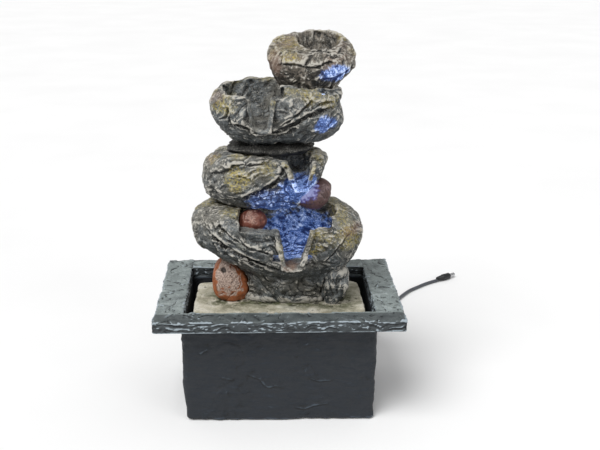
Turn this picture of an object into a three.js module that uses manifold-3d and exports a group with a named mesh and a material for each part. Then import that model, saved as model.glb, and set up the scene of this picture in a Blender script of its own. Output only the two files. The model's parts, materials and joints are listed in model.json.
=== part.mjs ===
// Tabletop water fountain: a slate basin with a stack of cast stone bowls, a submersible pump, a
// riser hose, three lamps and a low-voltage lead. Millimetres, +Z up, +Y to the rear. The origin
// is on the table, under the middle of the basin.
import * as THREE from 'three';
import { mergeVertices } from 'three/addons/utils/BufferGeometryUtils.js';
import { RoundedBoxGeometry } from 'three/addons/geometries/RoundedBoxGeometry.js';
import Module from 'manifold-3d';

const wasm = await Module();
wasm.setup();

// ---- driving dimensions -------------------------------------------------------------------------

const gap = 0.3;                  // between pieces that touch
const cutGap = 0.5;               // around a piece that a stone is cut by

const rimWidth = 250;
const rimDepth = 190;
const rimThickness = 12;
const rimEdge = 1.2;              // chamfer on the rim's edges
const basinHeight = 120;          // table to the top of the rim
const openingWidth = 192;
const openingDepth = 136;
const tubWall = 3.2;
const tubFloor = 4;
const tubTaper = 2.6;             // each side, from the top to the bottom of the tub
const tubCorner = 5;

const footDiameter = 18;
const footHeight = 2;
const footInset = 16;             // from the tub's sides to the middle of a foot

const plinthDrop = 10;            // top of the rim down to the top of the plinth
const plinthSideGap = 7.5;        // plinth to the opening, at the plinth's top
const plinthFrontGap = 7;
const plinthRearGap = 20;
const plinthTaper = 1.6;
const plinthCorner = 9;
const plinthTop = 9;              // thickness of the plinth's top
const plinthWall = 5;
const archHeight = 62;            // water arches in the plinth's walls
const archMargin = 18;            // from a plinth corner to an arch

const hoseOuter = 11;
const hoseInner = 8;
const hosePlace = [31, 16];       // axis of the riser hose
const hoseTop = 247;              // plinth top to the mouth of the hose
const nozzleDiameter = 7.2;
const nozzleBore = 5;
const nozzleHeight = 18;
const nozzleGrip = 14;            // length of nozzle inside the hose

const cupHeight = 6;
const cupDiameter = 13;
const pumpDepth = 34;
const pumpHeight = 34;
const motorLength = 42;
const chamberLength = 16;
const magnetDiameter = 15.6;
const magnetLength = 25;
const rotorClearance = 0.8;
const shaftDiameter = 2.2;
const shaftClearance = 0.3;
const impellerDiameter = 23;
const impellerWidth = 11;
const chamberClearance = 2;
const coverPlate = 2.2;
const eyeDiameter = 11;           // water inlet in the cover plate
const strainerLength = 14;
const strainerWall = 2;
const strainerSlots = 5;
const strainerSlotWidth = 2.4;
const regulatorWidth = 27;
const regulatorHeight = 9;
const regulatorThickness = 2.6;
const regulatorDrop = 7.5;        // rotor axis down to the regulator's lower edge, half over the slots

const socketSize = [13, 10, 9];
const plugSize = [11, 9, 11];
const plugTongue = [7, 4.5, 6];
const leadDiameter = 2.4;         // lamp leads
const lampDiameter = 9;
const lampHeight = 7;
const lensHeight = 2.2;

const cordDiameter = 4.5;
const glandNeck = 8;
const glandFlange = 13;
const glandFlangeThickness = 2.2;
const glandTaper = 15;
const glandAcross = 10;
const glandDrop = 28;             // top of the rim down to the middle of the gland
const coilCentre = [88, 152];
const coilRadius = 26;
const coilBand = 3;               // turns side by side, and turns high
const coilLift = 1.2;
const tieWidth = 5;
const tieThickness = 0.9;
const connectorDiameter = 9;
const connectorLength = 24;
const barrelDiameter = 5.5;
const barrelLength = 9.5;

// ---- materials ------------------------------------------------------------------------------------

function material(color, roughness, metalness = 0) {
  return new THREE.MeshStandardMaterial({ color, roughness, metalness });
}

const slate = material(0x6f7a78, 0.75);
const slateDark = material(0x33393d, 0.8);
const sandstone = material(0xb9b4a0, 0.9);
const rock = material(0x5b5a52, 0.85);
const rockPale = material(0x7d7566, 0.85);
const orangeStone = material(0xa0623c, 0.7);
const redStone = material(0x7a4436, 0.7);
const plumStone = material(0x5a4250, 0.7);
const blackPlastic = material(0x151618, 0.5);
const greyPlastic = material(0x3a3d40, 0.45);
const rubber = material(0x1b1b1c, 0.9);
const clearHose = material(0xc9cdcc, 0.25);
const lampLens = material(0x9db8ff, 0.15);
const ferrite = material(0x3c3a38, 0.6, 0.3);
const ceramic = material(0xe8e6df, 0.3);
const cordSheath = material(0x2a2c2f, 0.6);
const nickel = material(0xb9bcc0, 0.25, 1);

// ---- solids ---------------------------------------------------------------------------------------

function bare(geometry) {
  const copy = geometry.clone();
  copy.deleteAttribute('normal');
  copy.deleteAttribute('uv');
  return mergeVertices(copy, 1e-4);
}

function solid(geometry) {
  const closed = bare(geometry);
  const vertProperties = new Float32Array(closed.attributes.position.array);
  const triVerts = new Uint32Array(closed.index.array);
  return new wasm.Manifold(new wasm.Mesh({ numProp: 3, vertProperties, triVerts }));
}

function geometryOf(manifold) {
  const { vertProperties, triVerts } = manifold.getMesh();
  const geometry = new THREE.BufferGeometry();
  geometry.setAttribute('position', new THREE.BufferAttribute(vertProperties, 3));
  geometry.setIndex(new THREE.BufferAttribute(triVerts, 1));
  return geometry;
}

function cut(body, ...tools) {
  return tools.reduce((rest, tool) => rest.subtract(tool), body);
}

function join(...bodies) {
  return bodies.reduce((sum, body) => sum.add(body));
}

function place(group, name, shape, look) {
  const geometry = shape.isBufferGeometry ? bare(shape) : geometryOf(shape);
  geometry.computeVertexNormals();
  const mesh = new THREE.Mesh(geometry, look);
  mesh.name = name;
  group.add(mesh);
}

// ---- shapes ---------------------------------------------------------------------------------------

function box(x0, x1, y0, y1, z0, z1) {
  const geometry = new THREE.BoxGeometry(x1 - x0, y1 - y0, z1 - z0);
  return geometry.translate((x0 + x1) / 2, (y0 + y1) / 2, (z0 + z1) / 2);
}

function roundedBox(x0, x1, y0, y1, z0, z1, radius) {
  const geometry = new RoundedBoxGeometry(x1 - x0, y1 - y0, z1 - z0, 1, radius);
  return geometry.translate((x0 + x1) / 2, (y0 + y1) / 2, (z0 + z1) / 2);
}

// A round bar along Z, Y or X, from one end to the other.
function bar(axis, radius, across, from, to, sides = 20) {
  const geometry = new THREE.CylinderGeometry(radius, radius, to - from, sides);
  const middle = (from + to) / 2;
  if (axis === 'z') return geometry.rotateX(Math.PI / 2).translate(across[0], across[1], middle);
  if (axis === 'x') return geometry.rotateZ(Math.PI / 2).translate(middle, across[0], across[1]);
  return geometry.translate(across[0], middle, across[1]);
}

// A body turned about an axis: its profile is a list of [radius, height] points.
function turned(axis, profile, across, sides = 20) {
  const points = profile.map(([radius, height]) => new THREE.Vector2(radius, height));
  const geometry = new THREE.LatheGeometry(points, sides);
  if (axis === 'z') return geometry.rotateX(Math.PI / 2).translate(across[0], across[1], 0);
  if (axis === 'x') return geometry.rotateZ(-Math.PI / 2).translate(0, across[0], across[1]);
  return geometry.translate(across[0], 0, across[1]);
}

function ring(axis, inner, outer, across, from, to, sides = 20) {
  const profile = [[inner, from], [outer, from], [outer, to], [inner, to], [inner, from]];
  return turned(axis, profile, across, sides);
}

// A closed skin over level rings of points, from the lowest ring to the highest.
function skin(rings) {
  const count = rings[0].length;
  const positions = rings.flat().flatMap((point) => [point.x, point.y, point.z]);
  const middles = [rings[0], rings[rings.length - 1]].map((loop) => {
    const sum = loop.reduce((total, point) => total.add(point), new THREE.Vector3());
    return sum.divideScalar(count);
  });
  middles.forEach((point) => positions.push(point.x, point.y, point.z));
  const lowMiddle = rings.length * count;
  const lastRow = (rings.length - 1) * count;
  const faces = [];
  for (let i = 0; i < count; i += 1) {
    const next = (i + 1) % count;
    faces.push(lowMiddle, next, i, lowMiddle + 1, lastRow + i, lastRow + next);
    for (let row = 0; row < lastRow; row += count) {
      faces.push(row + i, row + next, row + count + next);
      faces.push(row + i, row + count + next, row + count + i);
    }
  }
  const geometry = new THREE.BufferGeometry();
  geometry.setAttribute('position', new THREE.Float32BufferAttribute(positions, 3));
  geometry.setIndex(faces);
  return geometry;
}

// A block with upright rounded corners whose sides lean evenly from its foot to its top.
function tapered(foot, top, z0, z1, corner) {
  const loops = [[foot, z0], [top, z1]].map(([sides, z]) => {
    const [left, right, front, rear] = sides;
    const corners = [[right, rear, 0], [left, rear, 1], [left, front, 2], [right, front, 3]];
    return corners.flatMap(([x, y, quarter]) => [0, 1, 2, 3].map((step) => {
      const angle = (quarter + step / 3) * Math.PI / 2;
      const inX = x - Math.sign(x - (left + right) / 2) * corner;
      const inY = y - Math.sign(y - (front + rear) / 2) * corner;
      return new THREE.Vector3(inX + corner * Math.cos(angle), inY + corner * Math.sin(angle), z);
    }));
  });
  return skin(loops);
}

function smoothed(values, at) {
  const last = values.length - 1;
  const start = Math.min(Math.floor(at), last - 1);
  const part = at - start;
  const [a, b, c, d] = [-1, 0, 1, 2].map((step) => values[THREE.MathUtils.clamp(start + step, 0, last)]);
  return b + 0.5 * part * (c - a + part * (2 * a - 5 * b + 4 * c - d + part * (3 * (b - c) + d - a)));
}

// A stone lofted through level sections, lowest first. Each section is [height, left, right, front,
// rear]. Waves around and up the stone pull its surface in by up to `relief`, `lean` raises its top
// towards +X and +Y, and `grow` gives the larger copy that its neighbours are cut by.
function stone(sections, { power = 2.5, relief = 3, seed = 0, lean = [0, 0], grow = 0, sides = 26 } = {}) {
  const columns = [0, 1, 2, 3, 4].map((column) => sections.map((section) => section[column]));
  const steps = (sections.length - 1) * 2;
  const low = sections[0][0];
  const high = sections[sections.length - 1][0];
  const rings = [];
  for (let row = 0; row <= steps; row += 1) {
    const [z, left, right, front, rear] = columns.map((values) => smoothed(values, row / 2));
    const rise = (z - low) / (high - low);
    const middle = [(left + right) / 2, (front + rear) / 2];
    const loop = [];
    for (let i = 0; i < sides; i += 1) {
      const angle = i / sides * 2 * Math.PI;
      const cosine = Math.cos(angle);
      const sine = Math.sin(angle);
      const wave = Math.sin(3 * angle + seed + 2.3 * rise) + Math.sin(5 * angle - 2 * seed - 4.1 * rise)
        + 0.7 * Math.sin(8 * angle + 3 * seed + 6 * rise);
      const pull = relief * (0.5 + 0.18 * wave) - grow;
      const halfX = (right - left) / 2 - pull;
      const halfY = (rear - front) / 2 - pull;
      const x = middle[0] + halfX * Math.sign(cosine) * Math.abs(cosine) ** (2 / power);
      const y = middle[1] + halfY * Math.sign(sine) * Math.abs(sine) ** (2 / power);
      const spread = grow * (row === 0 ? -1 : row === steps ? 1 : 0);
      const tip = rise * rise * (lean[0] * (x - middle[0]) + lean[1] * (y - middle[1]));
      loop.push(new THREE.Vector3(x, y, z + tip + spread));
    }
    rings.push(loop);
  }
  return skin(rings);
}

// A spout: a trough through the front of a bowl, as [left, right] at its top and at its floor. It
// falls towards the front by `fall` per millimetre.
function trough({ top, floor, high, low, front, rear, fall = 0.12 }, wall = 0) {
  const outline = new THREE.Shape([
    new THREE.Vector2(top[0] - wall, high),
    new THREE.Vector2(floor[0] - wall, low - wall),
    new THREE.Vector2(floor[1] + wall, low - wall),
    new THREE.Vector2(top[1] + wall, high),
  ]);
  const geometry = new THREE.ExtrudeGeometry(outline, { depth: rear - front, bevelEnabled: false });
  geometry.rotateX(Math.PI / 2).translate(0, rear, 0);
  const slope = new THREE.Matrix4().makeShear(0, 0, 0, fall, 0, 0);
  return geometry.translate(0, -front, 0).applyMatrix4(slope).translate(0, front, 0);
}

// A flat rectangular frame, given by half its width and height outside and inside.
function frameShape(outside, inside) {
  const corners = [[-1, -1], [1, -1], [1, 1], [-1, 1]];
  const loop = (half) => corners.map(([x, y]) => new THREE.Vector2(x * half[0], y * half[1]));
  const frame = new THREE.Shape(loop(outside));
  frame.holes.push(new THREE.Path(loop(inside).reverse()));
  return frame;
}

// A cable along hand-placed points. A full arc is drawn with two points to a curve segment.
function cable(points, diameter, sides, steps) {
  const path = new THREE.CatmullRomCurve3(points.map((point) => new THREE.Vector3(...point)));
  const section = new THREE.Shape().absarc(0, 0, diameter / 2, 0, 2 * Math.PI);
  const options = { extrudePath: path, steps, curveSegments: sides / 2, bevelEnabled: false };
  return new THREE.ExtrudeGeometry(section, options);
}

// ---- basin ----------------------------------------------------------------------------------------

const tubBottom = footHeight + gap;
const tubTopZ = basinHeight - rimThickness - gap;
const halfTub = [openingWidth / 2 + tubWall, openingDepth / 2 + tubWall];
const plinthTopZ = basinHeight - plinthDrop;
const floorZ = tubBottom + tubFloor;
const glandPlace = [glandAcross, basinHeight - glandDrop];

// [left, right, front, rear] of the tub's outside, moved in by `inset`, at its top or its bottom
function tubSides(inset, atTop) {
  const [x, y] = halfTub.map((half) => half - inset - (atTop ? 0 : tubTaper));
  return [-x, x, -y, y];
}

function makeBasin() {
  const basin = new THREE.Group();
  const outside = tapered(tubSides(0, false), tubSides(0, true), tubBottom, tubTopZ, tubCorner);
  const hollow = tapered(tubSides(tubWall, false), tubSides(tubWall, true), floorZ, tubTopZ + 1,
    tubCorner - tubWall);
  const wallY = halfTub[1];
  const glandHole = bar('y', glandNeck / 2 + gap, glandPlace, wallY - 20, wallY + 5);
  place(basin, 'tub', cut(solid(outside), solid(hollow), solid(glandHole)), slateDark);

  const rim = frameShape([rimWidth / 2 - rimEdge, rimDepth / 2 - rimEdge],
    [openingWidth / 2 + rimEdge, openingDepth / 2 + rimEdge]);
  const bevel = { bevelEnabled: true, bevelSize: rimEdge, bevelThickness: rimEdge, bevelSegments: 1 };
  const slab = new THREE.ExtrudeGeometry(rim, { depth: rimThickness - 2 * rimEdge, ...bevel });
  place(basin, 'rim_frame', slab.translate(0, 0, basinHeight - rimThickness + rimEdge), slate);

  for (const [side, sign] of [['left', -1], ['right', 1]]) {
    for (const [end, way] of [['front', -1], ['rear', 1]]) {
      const x = sign * (halfTub[0] - tubTaper - footInset);
      const y = way * (halfTub[1] - tubTaper - footInset);
      place(basin, `foot_${end}_${side}`, bar('z', footDiameter / 2, [x, y], 0, footHeight), rubber);
    }
  }

  const inner = wallY - tubWall - 1;
  const outer = wallY + gap;
  const innerFace = inner - glandFlangeThickness;
  const outerFace = outer + glandFlangeThickness;
  const gland = turned('y', [[0, innerFace], [glandFlange / 2, innerFace], [glandFlange / 2, inner],
    [glandNeck / 2, inner], [glandNeck / 2, outer], [glandFlange / 2, outer], [glandFlange / 2, outerFace],
    [glandNeck / 2, outerFace], [cordDiameter / 2 + 0.6, outerFace + glandTaper],
    [0, outerFace + glandTaper]], glandPlace);
  place(basin, 'cord_gland', gland, rubber);
  return basin;
}

// ---- pump -----------------------------------------------------------------------------------------

const [hoseX, hoseY] = hosePlace;
const pumpBottom = floorZ + gap + cupHeight;
const pumpTopZ = pumpBottom + pumpHeight;
const rotorZ = pumpBottom + pumpHeight / 2;
const chamberRight = hoseX + chamberLength / 2;
const chamberLeft = hoseX - chamberLength / 2;
const motorLeft = chamberLeft - motorLength;
const pumpFront = hoseY - pumpDepth / 2;
const pumpRear = hoseY + pumpDepth / 2;
const rotorAcross = [hoseY, rotorZ];
const wellLeft = chamberLeft - magnetLength - rotorClearance;
const socketX = motorLeft + motorLength / 2;

// The sides of a block of this width and depth around the lamp socket's middle
function aroundLead(width, depth) {
  return [socketX - width / 2, socketX + width / 2, hoseY - depth / 2, hoseY + depth / 2];
}

function makePump() {
  const pump = new THREE.Group();
  const cups = [[motorLeft + 8, pumpFront + 8], [motorLeft + 8, pumpRear - 8],
    [chamberRight - 8, pumpFront + 8], [chamberRight - 8, pumpRear - 8]];
  cups.forEach((at, index) => {
    const foot = floorZ + gap;
    const top = foot + cupHeight - gap;
    const cup = turned('z', [[0, foot + 1.6], [cupDiameter / 2 - 1, foot], [cupDiameter / 2, foot],
      [cupDiameter / 4, foot + 3], [cupDiameter / 4, top], [0, top]], at, 12);
    place(pump, `suction_cup_${index + 1}`, cup, rubber);
  });

  const block = roundedBox(motorLeft, chamberRight, pumpFront, pumpRear, pumpBottom, pumpTopZ, 3);
  const nozzle = bar('z', nozzleDiameter / 2, hosePlace, pumpTopZ - 3, pumpTopZ + nozzleHeight);
  const well = bar('x', magnetDiameter / 2 + rotorClearance, rotorAcross, wellLeft, chamberLeft + 1);
  const chamberRadius = impellerDiameter / 2 + chamberClearance;
  const chamber = bar('x', chamberRadius, rotorAcross, chamberLeft, chamberRight + 1, 28);
  const outlet = bar('z', nozzleBore / 2, hosePlace, rotorZ, pumpTopZ + nozzleHeight + 1, 12);
  const shaftSeat = bar('x', shaftDiameter / 2 + gap, rotorAcross, wellLeft - 4, wellLeft + 1, 12);
  const body = join(solid(block), solid(nozzle));
  const bored = cut(body, solid(well), solid(chamber), solid(outlet), solid(shaftSeat));
  place(pump, 'pump_housing', bored, blackPlastic);

  const shaft = bar('x', shaftDiameter / 2, rotorAcross, wellLeft - 4 + gap, chamberRight - gap, 12);
  place(pump, 'rotor_shaft', shaft, ceramic);

  const plateLeft = chamberRight + gap;
  const plateRight = plateLeft + coverPlate;
  const plate = ring('x', eyeDiameter / 2, pumpDepth / 2 - 1, rotorAcross, plateLeft, plateRight, 28);
  const reach = eyeDiameter / 2 + 1;
  const bearing = join(
    solid(box(plateLeft, plateRight, hoseY - 1.5, hoseY + 1.5, rotorZ - reach, rotorZ + reach)),
    solid(box(plateLeft, plateRight, hoseY - reach, hoseY + reach, rotorZ - 1.5, rotorZ + 1.5)));
  place(pump, 'impeller_cover', join(solid(plate), bearing), greyPlastic);

  const [socketWidth, socketDepth, socketHeight] = socketSize;
  const [tongueWidth, tongueDepth, tongueHeight] = plugTongue;
  const socketBottom = pumpTopZ + gap;
  const socketTop = socketBottom + socketHeight;
  const shell = roundedBox(...aroundLead(socketWidth, socketDepth), socketBottom, socketTop, 1);
  const slotSides = aroundLead(tongueWidth + 2 * gap, tongueDepth + 2 * gap);
  const slot = box(...slotSides, socketTop - tongueHeight - gap, socketTop + 1);
  place(pump, 'lamp_socket', cut(solid(shell), solid(slot)), blackPlastic);

  const leadStart = pumpRear + gap;
  const gapMiddle = (plinthRearY() + halfTub[1] - tubWall) / 2;
  const glandInside = halfTub[1] - tubWall - 1 - glandFlangeThickness - gap;
  const [glandX, glandZ] = glandPlace;
  const route = [[socketX, leadStart, rotorZ], [socketX, leadStart + 7, rotorZ],
    [socketX + 2, gapMiddle - 3, rotorZ + 5], [(socketX + glandX) / 2, gapMiddle, (rotorZ + glandZ) / 2],
    [glandX, gapMiddle - 1, glandZ - 16], [glandX, gapMiddle, glandZ - 4], [glandX, glandInside - 4, glandZ],
    [glandX, glandInside, glandZ]];
  place(pump, 'pump_lead', cable(route, cordDiameter, 8, 22), cordSheath);
  return pump;
}

function makeRotor() {
  const rotor = new THREE.Group();
  const bore = shaftDiameter / 2 + shaftClearance;
  const magnetLeft = wellLeft + rotorClearance;
  const magnetRight = chamberLeft - gap;
  const magnet = ring('x', bore, magnetDiameter / 2, rotorAcross, magnetLeft, magnetRight);
  place(rotor, 'rotor_magnet', magnet, ferrite);
  const wheelLeft = chamberLeft + gap;
  const wheelRight = wheelLeft + impellerWidth;
  const hub = ring('x', bore, 4, rotorAcross, wheelLeft, wheelRight);
  const disc = ring('x', bore, impellerDiameter / 2, rotorAcross, wheelLeft, wheelLeft + 1.6, 28);
  const blades = [0, 1, 2].map((turn) => {
    const blade = box(wheelLeft + 1, wheelRight, 3.2, impellerDiameter / 2 - 0.5, -0.8, 0.8);
    const wing = box(wheelLeft + 1, wheelRight, -impellerDiameter / 2 + 0.5, -3.2, -0.8, 0.8);
    return [blade, wing].map((piece) => {
      return solid(piece.rotateX(turn * Math.PI / 3).translate(0, hoseY, rotorZ));
    });
  });
  place(rotor, 'impeller', join(solid(hub), solid(disc), ...blades.flat()), greyPlastic);
  return rotor;
}

const strainerLeft = chamberRight + coverPlate + 2 * gap;
const strainerRight = strainerLeft + strainerLength;

function makeStrainer() {
  const strainer = new THREE.Group();
  const shell = roundedBox(strainerLeft, strainerRight, pumpFront, pumpRear, pumpBottom, pumpTopZ, 3);
  const square = box(strainerLeft - 1, strainerLeft + 3, pumpFront - 1, pumpRear + 1, pumpBottom - 1,
    pumpTopZ + 1);
  const blunt = join(cut(solid(shell), solid(square)),
    solid(box(strainerLeft, strainerLeft + 3.5, pumpFront, pumpRear, pumpBottom, pumpTopZ)));
  const hollow = box(strainerLeft - 1, strainerRight - strainerWall, pumpFront + strainerWall,
    pumpRear - strainerWall, pumpBottom + strainerWall, pumpTopZ - strainerWall);
  const pitch = (pumpDepth - 8) / strainerSlots;
  const slots = Array.from({ length: strainerSlots }, (_, index) => {
    const middle = pumpFront + 4 + pitch * (index + 0.5);
    return solid(box(strainerRight - strainerWall - 1, strainerRight + 1, middle - strainerSlotWidth / 2,
      middle + strainerSlotWidth / 2, pumpBottom + 5, rotorZ + 1));
  });
  place(strainer, 'strainer_cover', cut(blunt, solid(hollow), ...slots), blackPlastic);
  return strainer;
}

function makeRegulator() {
  const regulator = new THREE.Group();
  const low = rotorZ - regulatorDrop;
  const face = strainerRight + gap;
  const outer = face + regulatorThickness;
  const halfWidth = regulatorWidth / 2;
  const tab = roundedBox(face, outer, hoseY - halfWidth, hoseY + halfWidth, low, low + regulatorHeight, 0.8);
  const ridge = box(outer - 0.5, outer + 1, hoseY - 3.5, hoseY + 3.5, low + 3.6, low + 5.2);
  place(regulator, 'flow_regulator', join(solid(tab), solid(ridge)), greyPlastic);
  return regulator;
}

// ---- stones ---------------------------------------------------------------------------------------

// Heights in the stones are above the top of the plinth.
function shape(sections, options) {
  const grown = { ...options, grow: cutGap };
  return { whole: solid(stone(sections, options)), larger: solid(stone(sections, grown)) };
}

function fused(one, other) {
  return { whole: join(one.whole, other.whole), larger: join(one.larger, other.larger) };
}

const lowestBowl = shape([[gap, -40, 64, -20, 42], [13, -44, 70, -27, 46], [32, -42, 72, -34, 48],
  [46, -56, 80, -44, 50], [60, -81, 87, -51, 53], [75, -89, 90, -56, 55], [90, -91, 86, -57, 55],
  [100, -85, 74, -50, 52], [107, -74, 52, -34, 40]], { seed: 0.4, sides: 24 });
const thirdBowl = fused(
  shape([[102, -44, 24, -20, 34], [107, -62, 30, -32, 40], [116, -74, 36, -40, 43], [127, -79, 44, -46, 44],
    [139, -79, 47, -48, 44], [150, -77, 50, -48, 43], [157, -72, 48, -44, 40], [161, -56, 38, -34, 34]],
  { seed: 1.7, sides: 22 }),
  shape([[99, 8, 42, 4, 36], [106, 4, 45, 2, 39], [122, 2, 46, 0, 40], [134, 6, 44, 2, 38]],
    { seed: 0.6, relief: 1, sides: 12 }));
const flatStone = shape([[161, -52, 36, -34, 34], [164.5, -58, 42, -39, 38], [167.5, -55, 41, -37, 37],
  [169.5, -46, 36, -28, 32]], { seed: 2.9, relief: 1.5, sides: 20 });
const secondBowl = shape([[169.8, -44, 34, -20, 38], [174, -52, 52, -32, 42], [183, -60, 63, -44, 45],
  [193, -67, 68, -50, 47], [203, -70, 66, -53, 47], [213, -70, 63, -53, 46], [222, -66, 64, -50, 44],
  [228, -56, 58, -42, 40], [231, -42, 30, -26, 32]], { seed: 4.1, sides: 22 });
const topBowl = shape([[216, 4, 54, -24, 30], [225, 1, 60, -29, 33], [234, -4, 66, -33, 36],
  [243, -9, 75, -37, 39], [253, -13, 79, -39, 41], [262, -12, 78, -37, 41], [268, -6, 72, -31, 38],
  [271, 10, 60, -18, 30]], { seed: 5.2, relief: 2.5, lean: [0.02, 0.3], sides: 22 });
const heelStone = shape([[gap, 44, 67, -24, 6], [9, 41, 72, -30, 10], [24, 41, 74, -33, 12],
  [38, 44, 73, -30, 10], [46, 52, 67, -20, 3]], { seed: 0.9, relief: 2, sides: 14 });
const orangePebble = shape([[gap, -62, -36, -13, 8], [8, -70, -31, -19, 12], [20, -71.5, -31, -21, 14],
  [32, -70, -36, -20, 13], [41, -66, -45, -15, 9], [46, -61, -50, -8, 4]],
  { seed: 3.3, relief: 1.5, power: 2.8, sides: 14 });
const redPebble = shape([[80, -36, -20, -27, -15], [85, -42, -14, -32, -10], [92, -43, -12, -33, -9],
  [99, -40, -15, -30, -12], [103.5, -33, -22, -25, -16]], { seed: 2.2, relief: 1, power: 2.2, sides: 12 });
const plumPebble = shape([[103, 26, 42, -22, -8], [109, 17, 50, -29, -1], [118, 14, 54, -32, 2],
  [127, 21, 54, -29, 0], [133.5, 33, 46, -20, -8]], { seed: 5.9, relief: 1, power: 2.2, sides: 12 });

const lampPlaces = {
  upper: [42, -33, 223],
  middle: [41, -11, 154],
  lower: [44, -14, 63],
};

function lampPocket([x, y, z]) {
  return solid(bar('z', lampDiameter / 2 + gap, [x, y], z - lampHeight - gap, z + 40));
}

// Each lamp's lead leaves straight down, runs beside the hose and ends over the lamp plug.
function underLamp([x, y, z]) {
  const start = z - lampHeight - gap;
  return [[x, y, start], [x, y, start - 5]];
}

const plugTopZ = pumpTopZ + gap + socketSize[2] + gap + plugSize[2] - plinthTopZ;
const leadSteps = 28;
const leadSpacing = hoseOuter / 2 + leadDiameter / 2 + 2.2;
const besideHose = hoseX - leadSpacing;
const behindHose = hoseY + leadSpacing;
const beforeHose = hoseY - leadSpacing;
const leadRoutes = {
  upper: [...underLamp(lampPlaces.upper), [44, -26, 204], [46, -12, 198], [46, 6, 188], [42, 20, 178],
    [hoseX, behindHose, 166], [hoseX, behindHose, 120], [hoseX, behindHose, 60], [hoseX, behindHose, 2],
    [hoseX - 2, behindHose, -12], [hoseX - 16, hoseY + 8, -18], [socketX + 10, hoseY + 4, -16],
    [socketX + 1, hoseY + 3, -20], [socketX, hoseY + 3, plugTopZ + gap]],
  middle: [...underLamp(lampPlaces.middle), [38, -8, 134], [31, -4, 126], [besideHose + 1, hoseY - 9, 112],
    [besideHose, hoseY, 90], [besideHose, hoseY, 50], [besideHose, hoseY, 2], [besideHose, hoseY, -9],
    [hoseX - 20, hoseY, -15], [socketX + 10, hoseY, -16], [socketX + 1, hoseY, -20],
    [socketX, hoseY, plugTopZ + gap]],
  lower: [...underLamp(lampPlaces.lower), [44, -12, 42], [43, -6, 32], [40, 0, 16],
    [hoseX + 1, beforeHose, 6], [hoseX, beforeHose, -6], [hoseX - 6, beforeHose, -14],
    [hoseX - 20, hoseY - 8, -18], [socketX + 10, hoseY - 4, -16], [socketX + 1, hoseY - 3, -20],
    [socketX, hoseY - 3, plugTopZ + gap]],
};

function plinthRearY() {
  return openingDepth / 2 - plinthRearGap;
}

function plinthSides(inset, atTop) {
  const side = openingWidth / 2 - plinthSideGap - inset + (atTop ? 0 : plinthTaper);
  const front = openingDepth / 2 - plinthFrontGap - inset + (atTop ? 0 : plinthTaper);
  const rear = plinthRearY() - inset + (atTop ? 0 : plinthTaper);
  return [-side, side, -front, rear];
}

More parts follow.
